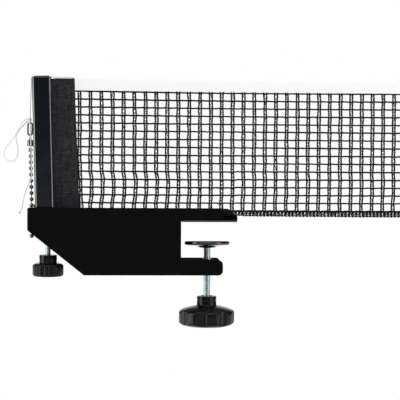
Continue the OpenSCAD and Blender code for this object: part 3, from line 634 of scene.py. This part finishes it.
def free_cords():
    """The loose loop and the loose end of the tension cord, along the routes of their solids."""
    bow = catmull(BOW_ROUTE, 8)
    loop = finish_piece(swept_mesh([bow], CORD_R, CORD_SIDES), "cord_bow", "post", "cord_white",
                        "bow_loop", 60)
    tail = catmull(TAIL_ROUTE, 8)
    end = finish_piece(swept_mesh([tail], CORD_R, CORD_SIDES), "cord_loose_end", "post", "cord_white",
                       "cord_tail", 60)
    heading = (tail[-1] - tail[-3]).normalized()
    side = heading.cross(Vector((0, 1, 0))).normalized()
    up = heading.cross(side)
    turns = []
    for i in range(34):
        angle = tau * i / 14
        turns.append(tail[-1] + heading * (0.3 + 1.5 * i / 33)
                     + (side * cos(angle) + up * sin(angle)) * 0.62)
    knot = finish_piece(swept_mesh([turns], 0.52, 10, taper=0.6), "cord_end_knot", "post", "cord_white",
                        "tail_knot", 60)


def taut_cord():
    """The tension cord: inside the tape, over the band and the cap, and down to its knot."""
    in_tape, on_band = 151.35, 152.3
    half = 10.25    # half of the cap's width along the cord
    mid_x = POST_X - NET_TOP * tan(LEAN)
    edge_x, edge_z, bend = mid_x - half, 151.66 * cos(LEAN) - half * tan(LEAN), 0.7
    route = [(NET_END - 1, 0, in_tape), (180, 0, in_tape), (100, 0, in_tape), (20, 0, in_tape),
             (-60, 0, in_tape), (-110, 0, in_tape), (-113.6, 0, in_tape), (-118.2, 0, on_band),
             (-128, 0, on_band + 0.1), (mid_x + half, 0, edge_z + bend + 2 * half * tan(LEAN)),
             (edge_x + 4, 0, edge_z + bend + 0.12), (edge_x + 0.6, 0, edge_z + bend),
             (edge_x - 0.2, 0, edge_z + 0.66), (edge_x - 0.56, 0, edge_z + 0.4),
             (edge_x - 0.7, 0, edge_z - 0.2), (edge_x - 0.8, 0, edge_z - 3), (-160.6, 0, 125),
             (-161.15, 0, 108.2)]
    line = catmull(route, 4)
    finish_piece(swept_mesh([line], CORD_R, CORD_SIDES), "tension_cord_piece", "post", "cord_white",
                 "tension_cord", 60)


def ring_knot():
    """Cord round the ring's upper bend, wrapped three times round itself above it."""
    x, z = -161.1, 103.45
    eye = [(x, 1.6 * cos(a), z + 1.6 * sin(a)) for a in [tau * i / 24 for i in range(24)]]
    wraps = [(x - 0.05 + 1.12 * cos(tau * i / 16), 1.12 * sin(tau * i / 16),
              105.25 + 0.056 * i) for i in range(52)]
    core = [(x, 0.3, 104.9), (x, -0.2, 106.4), (x + 0.05, 0.2, 108.3)]
    pieces = [swept_mesh([eye], 0.56, 12, closed=True), swept_mesh([wraps], 0.58, 12, taper=0.7),
              swept_mesh([catmull(core, 5)], CORD_R, CORD_SIDES)]
    finish_piece(join(pieces), "ring_knot", "post", "cord_white", "cord_knot", 60)


# ---------- chain and ring ----------

def wire_ring(radius, wire, segments, sides, turn, x=0.0, z=0.0):
    bpy.ops.mesh.primitive_torus_add(major_radius=radius * MM, minor_radius=wire * MM,
                                     major_segments=segments, minor_segments=sides, rotation=turn,
                                     location=(x * MM, 0, z * MM))
    obj = bpy.context.object
    settle(obj)
    return obj


def oval_ring():
    """A wire ring stretched into an oval with two straight limbs."""
    bend, wire, height = 2.25, 0.95, 15
    obj = wire_ring(bend, wire, 40, 20, (pi / 2, 0, 0))
    limb = (height / 2 - wire - bend) * MM
    for vertex in obj.data.vertices:
        if abs(vertex.co.z) > 1e-6:
            vertex.co.z += copysign(limb, vertex.co.z)
    finish_piece(shifted(obj, chain_x(RING_Z), RING_Z), "oval_ring", "post", "nickel", "cord_ring", 60)


def bead():
    """A rolled ball with a drawn hole at each pole."""
    section = [(0.62, -1.95), (0.62, -2.16)] + bowed(0, 0, BEAD_R, -70, 70, 14) + [(0.62, 2.16), (0.62, 1.95)]
    return turned(section, 22)


def chain_run(pattern, balls, links):
    """Balls at (x, z) places and the wire links between them, in one piece."""
    run = []
    for x, z in balls:
        copy = pattern.copy()
        copy.data = pattern.data.copy()
        bpy.context.scene.collection.objects.link(copy)
        run.append(shifted(copy, x, z))
    return join(run + [swept_mesh(links, 0.5, 10)])


def ball_chain():
    pattern = bead()
    heights = [SEAT_Z + BEAD_PITCH * i for i in range(12)]
    links = [[(chain_x(max(low, CATCH_Z)), 0, low + LINK_END),
              (chain_x((low + high) / 2), 0, (low + high) / 2), (chain_x(high), 0, high - LINK_END)]
             for low, high in zip(heights, heights[1:])]
    top = heights[-1]
    links.append([(chain_x(top), 0, top + LINK_END), (chain_x(top + 3.3), 0, top + 3.3)])
    taut = chain_run(pattern, [(chain_x(max(z, CATCH_Z)), z) for z in heights], links)
    finish_piece(taut, "ball_chain", "post", "nickel", "chain_taut", 50)
    hung = [SEAT_Z - BEAD_PITCH * i for i in range(5)]
    # the first link starts below the ball that sits on the catch, which rides on the post
    links = [[(CHAIN_X0, 0, upper - (LINK_END if i else BEAD_R + 0.05)), (CHAIN_X0, 0, upper - 3.3),
              (CHAIN_X0, 0, upper - BEAD_PITCH + LINK_END)] for i, upper in enumerate(hung[:-1])]
    loose = chain_run(pattern, [(CHAIN_X0, z) for z in hung[1:]], links)
    finish_piece(loose, "ball_chain_end", "chain_tail", "nickel", "chain_tail", 50)
    bpy.data.objects.remove(pattern)


def bell_clasp():
    """A drawn bell over the chain's last ball, with an eye through the ring."""
    top = 85.86
    low = top - 7.3
    section = [(0.0, top), (0.9, top), (1.5, top - 0.15)] + bowed(1.5, top - 1.65, 1.5, 80, 8, 6) + [
        (3.08, top - 3.0), (3.14, low + 0.9), (3.3, low + 0.6), (3.34, low + 0.3), (3.2, low),
        (2.72, low + 0.05), (2.6, low + 0.4), (2.45, top - 2.6), (2.0, top - 1.5), (0.0, top - 1.4)]
    bell = turned(section, 36, chain_x(top))
    eye = wire_ring(1.7, 0.5, 28, 12, (0, pi / 2, 0), chain_x(RING_Z), 90.31)
    neck = turned([(0, top - 0.4), (0.95, top - 0.4), (0.7, top + 0.6), (0.72, top + 2.2), (0.9, 88.4),
                   (0, 88.7)], 20, chain_x(RING_Z))
    finish_piece(join([bell, eye, neck]), "bell_clasp", "post", "nickel", "chain_clasp", 40)


def rivet_heads():
    heads = []
    for y in (-3.3, 3.3):
        dome = [(1.4 * cos(a), 0.25 + 0.45 * sin(a)) for a in (0.35, 0.7, 1.05, 1.35)]
        head = turned([(0, 0), (1.4, 0.02), (1.4, 0.25)] + dome + [(0, 0.7)], 24)
        head.data.transform(Matrix.Translation((-11.45 * MM, y * MM, 15.35 * MM))
                            @ Matrix.Rotation(-pi / 2, 4, "Y"))
        head.data.transform(Matrix.Rotation(-LEAN, 4, "Y"))
        clean_normals(shifted(head, POST_X))
        heads.append(head)
    finish_piece(join(heads), "catch_rivet_heads", "post", "zinc", "catch_rivets", 40)


# ---------- screws and knobs ----------

def scallop(obj, centre_x, rim_low, count, flute_r, flute_centre, first_turn, soft):
    """Presses rounded flutes into a turned knob's rim: every point outside a flute's near wall
    moves in to it, with a soft shoulder."""
    for vertex in obj.data.vertices:
        x, y, z = vertex.co.x / MM - centre_x, vertex.co.y / MM, vertex.co.z / MM
        radius = hypot(x, y)
        if radius < rim_low:
            continue
        turn = degrees(atan2(y, x)) - first_turn
        off = radians((turn + 180 / count) % (360 / count) - 180 / count)
        reach = flute_r ** 2 - (flute_centre * sin(off)) ** 2
        if reach > 0:
            wall = flute_centre * cos(off) - sqrt(reach)
        else:
            wall = flute_centre * cos(off) + 2 * (abs(off) * flute_centre - flute_r)
        gap = max(soft - abs(radius - wall), 0) / soft
        pressed = min(radius, wall) - gap * gap * soft / 4
        vertex.co.x = (centre_x + x * pressed / radius) * MM
        vertex.co.y = y * pressed / radius * MM


def clamp_knob():
    """Eight-lobed knob: a tall hub on a domed shoulder, a deep rim and a long rounded foot."""
    dome = catmull([(10.5, 0, -90.9), (11.2, 0, -91.7), (13.5, 0, -92.2), (20.1, 0, -93.6), (26.1, 0, -95.6),
                    (28.9, 0, -97.2), (29.8, 0, -98.6), (30, 0, -100.4)], 5)
    foot = [(16 + 14 * cos(a), -109 - 5.2 * sin(a)) for a in [radians(9 * i) for i in range(11)]]
    section = ([(0, -96.3), (6.42, -96.3), (6.42, -83.6), (6.55, -83.5), (6.55, -81.85), (6.9, -81.5),
                (9.6, -81.5)] + bowed(9.6, -82.4, 0.9, 80, 0, 4) + [(10.5, -86.5)]
               + [(p.x, p.z) for p in dome] + [(30, -103), (30, -106)] + foot
               + [(15.4, -113.8), (9, -113.6), (0, -113.6)])
    obj = turned(section, 288, CLAMP_X)
    scallop(obj, CLAMP_X, 22.0, 8, 12.0, 39.6, 30.8, 0.9)
    finish_piece(obj, "clamp_knob_piece", "clamp_spindle", "black_plastic", "clamp_knob", 40)


def lift_knob():
    """Small knob with a straight hub and a fluted rim."""
    section = ([(0, -46.4), (4.75, -46.4), (4.75, -37.6), (4.95, -37.4), (8.5, -37.4)]
               + bowed(8.6, -38.2, 0.8, 80, 0, 4) + [(9.4, -41.5), (9.4, -45.0)]
               + bowed(10.4, -45.1, 1.0, 180, 255, 4)
               + [(11.6, -46.15), (13.2, -46.5), (14.6, -47.0), (15.5, -47.55), (16.15, -48.3),
                  (16.45, -49.1), (16.5, -50.0), (16.5, -52.5), (16.5, -55.0), (16.5, -57.6),
                  (16.38, -58.5), (15.95, -59.3), (15.2, -59.95), (14.1, -60.2), (12, -60.2), (11.4, -59.8),
                  (0, -59.8)])
    obj = turned(section, 256, LIFT_X)
    scallop(obj, LIFT_X, 13.2, 16, 1.6, 17.4, 7.875, 0.35)
    finish_piece(obj, "lift_knob_piece", "lift_spindle", "black_plastic", "lift_knob", 40)


def clamp_screw():
    rod = threaded_rod(CLAMP_X, -95.4, -31.5, 8.0, 1.25)
    head = turned([(0, -31.9), (3.1, -31.9), (3.75, -31.2), (3.75, -30.28), (2.2, -30.24), (2.2, -29.42)]
                  + bowed(0, BALL_Z, 3.0, -42, 90, 12), 36, CLAMP_X)
    finish_piece(join([rod, head]), "clamp_screw_piece", "clamp_spindle", "zinc", "clamp_screw", 50)


def lift_screw():
    rod = threaded_rod(LIFT_X, -46.3, -11.2, 6.0, 1.0)
    journal = turned([(0, -11.6), (2.3, -11.6), (2.85, -11.0), (2.85, -9.6), (2.0, -9.55), (2.0, -5.45),
                      (1.6, -5.45), (1.6, -4.65), (2.0, -4.65), (2.0, -3.8), (1.7, -3.5), (0, -3.5)],
                     32, LIFT_X)
    finish_piece(join([rod, journal]), "lift_screw_piece", "lift_spindle", "zinc", "lift_screw", 50)


def hanging(obj):
    """Turns a piece about the middle of the screw's ball, front edge up, as the loose plate hangs."""
    middle = Vector((CLAMP_X, 0, BALL_Z)) * MM
    obj.matrix_world = (Matrix.Translation(middle) @ Matrix.Rotation(-PLATE_HANG, 4, "X")
                        @ Matrix.Translation(-middle) @ obj.matrix_world)
    settle(obj)
    return obj


def pressure_plate():
    """Pressed steel dish: rounded rim, flat top under the pad, and a boss round the ball."""
    section = ([(0, -24.3)] + bowed(0, BALL_Z, 3.1, 84, -26, 8)
               + [(3.4, -28.75), (5.3, -28.8), (5.5, -29.3), (8.2, -29.4), (9.2, -29.0), (10.6, -28.1),
                  (12.4, -27.5), (16, -27.1), (20.4, -26.85), (22.2, -26.7), (23.3, -26.4), (24.05, -25.85),
                  (24.4, -25.2), (24.45, -24.75)]
               + bowed(23.55, -24.4, 0.9, 0, 100, 8) + [(22.6, -23.6), (22.5, -23.8), (0, -23.8)])
    obj = hanging(turned(section, 128, CLAMP_X))
    finish_piece(obj, "pressure_plate_piece", "pressure_plate", "plate_paint", "pressure_plate", 35)


def plate_pad():
    obj = hanging(turned([(0, -22.5), (12, -22.5), (23.4, -22.5)] + bowed(23.6, -22.9, 0.4, 80, 0, 4)
                         + [(24.0, -23.47), (22.4, -23.47), (22.4, -23.75), (0, -23.75)], 96, CLAMP_X))
    finish_piece(obj, "plate_pad_piece", "pressure_plate", "pad_black", "plate_pad", 35)


# ---------- net ----------

ROW_SAG = [0, -0.3, -0.3, -0.75, -0.75, -0.65, -0.1, -0.2, 0, 0, 0, 0, 0, 0, -0.1, -0.2]
UPPER_SAG = {11: 0.4, 12: 0.5, 13: 0.5, 14: 0.75, 15: 0.95}
COLUMN_SHIFT = [0, 0, 1.4, 1.5, 1.5, 0.05, 0, 0, 0, 0, 0.1, 0, 0.1, 0, -0.1, -0.5]
PAIR_START, PAIR_PITCH = -108.35, 11.73


def yarn_lines(rng):
    """Level yarns, paired upright yarns and the fine lacing of each pair, as lines of points."""
    levels = [MESH_LOW + 0.5 + ROW_PITCH * i for i in range(16)]

    def row_z(i, x):
        hang = sin(pi * min(1, max(0, (x + 110) / 360)))
        return levels[i] + ROW_SAG[i] * (1 if x < 60 else 0.4) - UPPER_SAG.get(i, 0) * hang

    rows, uprights, lacing = [], [], []
    pairs = [x for x in [PAIR_START + PAIR_PITCH * p for p in range(30)] if x < NET_END - 4]
    for i, z in enumerate(levels):
        start, line = band_edge_x(z) - 0.6, []
        phase, steps = rng.uniform(0, 6.28), int((NET_END - band_edge_x(z)) / 1.47)
        for k in range(steps + 1):
            px = start + (NET_END + 0.6 - start) * k / steps
            beat = tau * (px + 97.2) / PAIR_PITCH
            waver = 0.13 * sin(px * 1.9 + phase) + 0.12 * sin(px * 0.53 + 2 * phase)
            line.append((px, 0.42 * cos(beat + pi * (i % 2)), row_z(i, px) + waver))
        rows.append(line)
    for at in pairs:
        reach = 0.3 + 0.7 * min(1, max(0, (20 - at) / 60))
        centres, widths = [], []
        for i, z in enumerate(levels):
            centre = at + COLUMN_SHIFT[i] * reach + rng.uniform(-0.25, 0.25)
            centres.append(max(centre, band_edge_x(z) + 2.1))
            widths.append(rng.uniform(1.15, 1.6))
        for side in (-1, 1):
            line = []
            for i in range(len(levels)):
                face = -0.4 * cos(pi * (i % 2)) * (1 if side > 0 else 0.8)
                line.append((centres[i] + side * widths[i], face, row_z(i, centres[i])))
                if i + 1 < len(levels):
                    middle = (centres[i] + centres[i + 1]) / 2
                    spread = (widths[i] + widths[i + 1]) / 2 + rng.uniform(-0.25, 0.3)
                    line.append((middle + side * spread, face * 0.2, levels[i] + ROW_PITCH * 0.5))
            line.append((line[-1][0], 0, TAPE_LOW + 3))
            uprights.append(catmull([(line[0][0], 0, HEM_LOW + 4.6)] + line, 2))
        for strand in (0, 1):
            zigzag = [(centres[0], 0, levels[0])]
            for i in range(len(levels) - 1):
                bends = rng.choice((2, 3, 3, 4))
                for k in range(bends):
                    side = 1 if (k + i + strand) % 2 else -1
                    part = (0.9 + 6.7 * k / max(bends - 1, 1)) / ROW_PITCH
                    middle = centres[i] + (centres[i + 1] - centres[i]) * part
                    zigzag.append((middle + side * rng.uniform(0.7, 1.5), side * 0.3,
                                   levels[i] + part * ROW_PITCH))
                zigzag.append((centres[i + 1] + rng.uniform(-0.4, 0.4), 0.35, row_z(i + 1, centres[i + 1])))
            lacing.append(catmull(zigzag, 2))
    return rows, uprights, lacing


def net_yarns():
    rng = random.Random(11)
    rows, uprights, lacing = yarn_lines(rng)
    mesh_rows = swept_mesh(rows, 0.93, 6)
    mesh_uprights = swept_mesh(uprights, 0.83, 6)
    net = finish_piece(join([mesh_rows, mesh_uprights]), "net_yarns", "post", "net_yarn", "net_mesh", 60)
    lace = finish_piece(swept_mesh(lacing, 0.28, 4), "net_lacing", "post", "net_filament", (), 60)
    return net, lace


def net_hem():
    """Overlocked lower edge: strands that coil from the last level yarn down to thick lower bights, which
    are a little shorter over the table rest."""
    rng = random.Random(5)
    start, end, pitch = band_edge_x(HEM_LOW) - 0.4, NET_END + 0.4, 3.85
    turns = int((end - start) / pitch)
    coils = []
    for phase, lean in ((0.0, 1.0), (0.5, -0.8), (0.27, 1.5)):
        coil = []
        for i in range(turns * 10 + 1):
            angle = tau * (i / 10 + phase)
            px = start + (end - start) * i / (turns * 10)
            deep = min(1, max(0, (px - 50) / 150))
            short = 0.5 if px < 68 and cos(angle) < 0 else 0
            coil.append((px + lean * sin(angle) * 1.1 + rng.uniform(-0.15, 0.15), 0.5 * sin(angle),
                         7.6 - 0.3 * deep + (2.5 + 0.3 * deep - short) * cos(angle)
                         + rng.uniform(-0.15, 0.15)))
        coils.append(coil)
    heavy = swept_mesh(coils[:1], 0.66, 6, swell=lambda p: 1.0 + 0.35 * max(0, (7.4 - p[2]) / 2.4))
    second = swept_mesh(coils[1:], 0.5, 6)
    edge = swept_mesh([[(start + (end - start) * i / 500, 0.1, 10.2 + 0.15 * sin(i * 1.7))
                        for i in range(501)]], 0.85, 6)
    return finish_piece(join([heavy, second, edge]), "net_hem_piece", "post", "net_yarn", "net_hem", 60)


def hem_fill():
    """Fine looping threads between the coils."""
    start, end, lines = band_edge_x(HEM_LOW), NET_END, []
    for phase, high in ((0.0, 9.7), (2.1, 8.9)):
        count = int((end - start) / 0.42)
        middle, swing = (high + 5.9) / 2, (high - 5.9) / 2
        lines.append([(start + (end - start) * i / count + 0.5 * sin(i * 0.9 + phase), 0.3,
                       middle + swing * sin(i * 1.3 + phase)) for i in range(count + 1)])
    return finish_piece(swept_mesh(lines, 0.2, 4), "hem_threads", "post", "net_filament", (), 60)


def strip(profile_at, stations, closed):
    """Cloth strip: a cross-section of points at each station, joined into one sheet of quads."""
    build = bmesh.new()
    rings = [[build.verts.new(Vector(p) * MM) for p in profile_at(s)] for s in stations]
    for near, far in zip(rings, rings[1:]):
        count = len(near)
        for k in range(count if closed else count - 1):
            m = (k + 1) % count
            build.faces.new((near[k], near[m], far[m], far[k]))
    return built(build, "strip")


def thicken(obj, thickness):
    solid = obj.modifiers.new("cloth", "SOLIDIFY")
    solid.thickness, solid.offset = thickness * MM, 0
    apply_modifiers(obj)


def ripple(rng, count, height, rate):
    """A slow sway along a strip: a few sines of random height, rate and phase."""
    waves = [(rng.uniform(*height), rng.uniform(*rate), rng.uniform(0, 6.3)) for _ in range(count)]
    return lambda x: sum(a * sin(f * x + p) for a, f, p in waves)


def stitches(points, direction, length=1.9):
    """Short threads that dip into the cloth at both ends."""
    direction = Vector(direction).normalized()
    lines = []
    for point in points:
        inward = Vector((0, -0.22 if point[1] > 0 else 0.22, 0))
        centre = Vector(point)
        lines.append([centre - direction * length / 2 + inward, centre - direction * length / 3,
                      centre + direction * length / 3, centre + direction * length / 2 + inward])
    return swept_mesh(lines, 0.22, 5, taper=0.6)


def dark_seam(name, points):
    """Upright black stitching on webbing."""
    return finish_piece(stitches(points, (0, 0, 1), 2.0), name, "post", "thread_black", (), 60)


def top_tape():
    """White tape folded over the net's top, with a row of stitching through both layers."""
    sway_at = ripple(random.Random(3), 4, (0.02, 0.09), (0.06, 0.25))
    cloth = 0.45
    outer = 1.3 - cloth / 2

    def section(x):
        sway = sway_at(x)
        low = TAPE_LOW + 0.5 * sway
        side = [(x, outer - 0.15 + 0.1 * sway, low), (x, outer - 0.22, low + TAPE_EDGE),
                (x, outer - 0.05, low + 6), (x, outer + 0.02, low + 10)]
        arch = [(x, outer * cos(a), NET_TOP - cloth / 2 - outer + outer * sin(a))
                for a in [pi * i / 8 for i in range(9)]]
        back = [(x, -p[1] + 0.1 * sway, p[2]) for p in reversed(side)]
        return side + arch + back

    left = band_edge_x(TAPE_LOW) + 0.05
    stations = [left + (NET_END + 0.3 - left) * i / 180 for i in range(181)]
    obj = strip(section, stations, False)
    thicken(obj, cloth)
    tape = finish_piece(obj, "top_tape_piece", "post", "tape_white", "top_tape", 50)
    rows = [(x, side * 1.1, TAPE_LOW + TAPE_EDGE) for side in (-1, 1)
            for x in [left + 2 + 3.0 * i for i in range(int((NET_END - left - 4) / 3.0) + 1)]]
    thread = finish_piece(stitches(rows, (1, 0, 0)), "tape_stitches", "post", "thread_white", (), 60)


def side_band():
    """Dark webbing: doubled, sewn round the keeper rod at one edge and to the net at the other."""
    rng = random.Random(8)
    heights = [HEM_LOW + 0.5 + (151.2 - HEM_LOW - 0.5) * i / 110 for i in range(111)]
    edge_jitter = [rng.uniform(-0.32, 0.22) for _ in heights]
    sway_at = ripple(rng, 3, (0.03, 0.08), (0.05, 0.16))
    rod_x, rod_r, half = 5.4, 2.92, 0.55

    def section(index):
        z = heights[index]
        sway = sway_at(z)
        right = band_edge_x(z) + edge_jitter[index] - 0.5
        if z > 144.4:    # above the rod the two layers lie flat in the cap's notch
            left = post_x(6.7, z)
            loop = [(left, half * s, z) for s in (1, 0.75, 0.5, 0.25, 0, -0.25, -0.5, -0.75, -1)]
        else:
            centre = post_x(rod_x, z)
            loop = [(centre + rod_r * cos(a), rod_r * sin(a), z)
                    for a in [radians(24 + 312 * k / 8) for k in range(9)]]
        slot_x = post_x(8.4, z)
        across = [slot_x + (right - slot_x) * k / 12 for k in range(13)]
        drop = [0.0 if z < 149 else max(0.0, (1 - k / 3.0)) * -0.9 for k in range(13)]
        front = [(x, -half - 0.04 * sin(x) - (sway if 0 < k < 12 else 0) * 0.5, z + drop[k])
                 for k, x in enumerate(across)]
        back = [(x, half + 0.04 * cos(x) - (sway if 0 < k < 12 else 0) * 0.5, z + drop[k])
                for k, x in reversed(list(enumerate(across)))]
        fold = [(right + 0.3, 0.0, z)]
        return loop + front + fold + back

    obj = strip(section, range(len(heights)), True)
    thicken(obj, 0.85)
    band = finish_piece(obj, "side_band_piece", "post", "band_weave", "side_band", 50)
    seams = [(band_edge_x(z) - inset, side * 1.02, z) for side in (-1, 1) for inset in (3.2, 5.4)
             for z in STITCH_HEIGHTS]
    thread = dark_seam("band_stitches", seams)


def end_binding():
    """Webbing folded round the net's bound end."""
    heights = [HEM_LOW + 0.4 + (NET_TOP - HEM_LOW - 0.8) * i / 60 for i in range(61)]

    def section(z):
        side = [(NET_END + 0.1 + 8.2 * k / 5, 0.58, z) for k in range(6)]
        fold = [(NET_END + 8.3 + 0.58 * cos(a) + 0.5, 0.58 * sin(a), z)
                for a in [radians(60 - 30 * k) for k in range(5)]]
        back = [(x, -y, z) for x, y, _ in reversed(side)]
        return side + fold + back

    obj = strip(section, heights, False)
    thicken(obj, 0.8)
    band = finish_piece(obj, "end_binding_piece", "post", "band_weave", "end_binding", 50)
    seams = [(NET_END + 2.2, side, z) for side in (-1, 1) for z in STITCH_HEIGHTS]
    thread = dark_seam("binding_stitches", seams)


# ---------- studio ----------

def area_light(name, place, aim, size, power, size_y=None):
    bpy.ops.object.light_add(type="AREA", location=place)
    lamp = bpy.context.object
    lamp.name = name
    lamp.data.energy, lamp.data.size = power, size
    if size_y:
        lamp.data.shape, lamp.data.size_y = "RECTANGLE", size_y
    lamp.rotation_mode = "QUATERNION"
    lamp.rotation_quaternion = (Vector(aim) - Vector(place)).to_track_quat("-Z", "Y")


def pale_rays(tree):
    """1 for the rays that see the backdrop itself: the camera's and those through glass."""
    rays = tree.nodes.new("ShaderNodeLightPath")
    return (most(rays.outputs["Is Camera Ray"], rays.outputs["Is Transmission Ray"]),
            rays.outputs["Is Glossy Ray"])


# brightness by bearing, -1 to 1 round from the back: the front at eye level, above it, and below it
BELT = ((-1, 1.0), (-0.91, 1.0), (-0.87, 0.08), (-0.56, 0.08), (-0.52, 0.9), (-0.36, 0.9), (-0.31, 0.03),
        (0.14, 0.03), (0.2, 0.4), (0.46, 0.4), (0.51, 0.08), (0.87, 0.08), (0.91, 1.0), (1, 1.0))
UPPER = ((-1, 0.12), (-0.55, 0.12), (-0.42, 0.4), (-0.2, 0.95), (0.2, 1.0), (0.42, 0.45), (0.55, 0.12),
         (1, 0.12))
LOWER = ((-1, 1.0), (-0.91, 1.0), (-0.87, 0.05), (-0.32, 0.05), (-0.2, 1.0), (0.2, 1.0), (0.32, 0.05),
         (0.87, 0.05), (0.91, 1.0), (1, 1.0))


def surround(turn, stops):
    """Brightness by bearing from the front, -1 to 1."""
    node = turn.id_data.nodes.new("ShaderNodeValToRGB")
    link(plus(times(turn, 0.5), 0.5), node.inputs[0])
    elements = node.color_ramp.elements
    for element, (place, value) in zip(elements, (stops[0], stops[-1])):
        element.position, element.color = (place + 1) / 2, (value, value, value, 1)
    for place, value in stops[1:-1]:
        elements.new((place + 1) / 2).color = (value, value, value, 1)
    return node.outputs[0]


def studio():
    """White studio: soft boxes at both sides and above. Shiny pieces see a dark belt in front at their
    own height, paler walls above it, flags at the sides and the white backdrop behind."""
    world = bpy.data.worlds.new("studio")
    bpy.context.scene.world = world
    world.use_nodes = True
    tree = world.node_tree
    tree.nodes.clear()
    out = tree.nodes.new("ShaderNodeOutputWorld")
    direct, glossy = pale_rays(tree)
    way = axes_of(tree.nodes.new("ShaderNodeTexCoord").outputs["Generated"])
    turn = over(math_node("ARCTAN2", way["X"], times(way["Y"], -1.0)), pi)
    off_belt = ramp(size_of(way["Z"]), 0.26, 0.42)
    belt = mix_color(ramp(way["Z"], -0.062, -0.072), surround(turn, BELT), surround(turn, LOWER))
    walls = mix_color(off_belt, belt, surround(turn, UPPER))
    seen = mix_color(ramp(way["Z"], 0.7, 0.9), walls, (0.6, 0.6, 0.6))
    shade = mix_color(glossy, (0.62, 0.62, 0.62), seen)
    back = tree.nodes.new("ShaderNodeBackground")
    link(mix_color(direct, shade, (1, 1, 1)), back.inputs["Color"])
    link(back.outputs[0], out.inputs["Surface"])
    area_light("softbox_left", (-1.4, -0.3, 0.15), (-0.1, 0, 0.1), 0.8, 13, size_y=1.5)
    area_light("softbox_right", (1.27, -0.8, 0.15), (0.0, 0, 0.1), 0.7, 8, size_y=1.5)
    area_light("softbox_top", (-0.1, -0.25, 1.6), (0, 0, 0), 1.2, 12)
    bpy.context.scene.view_settings.view_transform = "Standard"


def floor():
    """Pale floor well below the knob, lit white to the camera."""
    bpy.ops.mesh.primitive_plane_add(size=12, location=(0, 0, -0.55))
    plane = bpy.context.object
    plane.name = "studio_floor"
    tree, shader = new_material("floor_white", (0.9, 0.9, 0.9), 0.9)
    direct, glossy = pale_rays(tree)
    place = axes_of(object_place(tree))
    glow = tree.nodes.new("ShaderNodeEmission")
    near = mix_color(ramp(place["Y"], -1.7, -0.9), (0.04, 0.04, 0.04), (0.45, 0.45, 0.45))
    aside = size_of(over(place["X"], place["Y"]))
    strip_ahead = times(ramp(place["Y"], -1.4, -2.0), ramp(aside, 1.15, 0.75))
    near = mix_color(strip_ahead, near, (0.85, 0.85, 0.85))
    pale = most(direct, ramp(place["Y"], -0.7, -0.1))
    link(mix_color(pale, near, (1, 1, 1)), glow.inputs["Color"])
    mixer = tree.nodes.new("ShaderNodeMixShader")
    link(most(direct, glossy), mixer.inputs[0])
    link(shader.outputs[0], mixer.inputs[1])
    link(glow.outputs[0], mixer.inputs[2])
    link(mixer.outputs[0], tree.nodes["Material Output"].inputs["Surface"])
    plane.data.materials.append(FINISH["floor_white"])


# ---------- assembly ----------

set_camera()
free_cords()
taut_cord()
ring_knot()

for node, body, finish, edge in (
        ("side_shell", "bracket", "bracket_paint", 0.35), ("jaw_liner", "bracket", "bracket_paint", 0.3),
        ("lift_bridge", "bracket", "bracket_paint", 0.3), ("rest_pad", "bracket", "pad_grey", 0.15),
        ("clamp_nut", "bracket", "zinc", 0.3), ("lift_nut", "bracket", "zinc", 0.3),
        ("post_guide_front", "bracket", "guide_plastic", 0.5),
        ("post_guide_rear", "bracket", "guide_plastic", 0.5), ("swivel_washer", "clamp_slider", "zinc", 0.12),
        ("knob_insert", "clamp_spindle", "zinc", 0.25), ("lift_insert", "lift_spindle", "zinc", 0.25),
        ("lift_clip", "lift_spindle", "zinc", 0.08), ("post_tube", "post", "post_paint", 0.12),
        ("post_cap", "post", "cap_plastic", 0.25), ("post_foot", "post", "guide_plastic", 0.3),
        ("chain_catch", "post", "post_paint", 0.2), ("keeper_rod", "post", "rod_plastic", 0.3)):
    dressed(node, body, finish, edge)
swell_rest_pad()

for make in (oval_ring, ball_chain, bell_clasp, rivet_heads, clamp_screw, clamp_knob, pressure_plate,
             plate_pad, lift_screw, lift_knob):
    make()

net, lace = net_yarns()
hem, threads = net_hem(), hem_fill()
top_tape()
side_band()
end_binding()

studio()
floor()
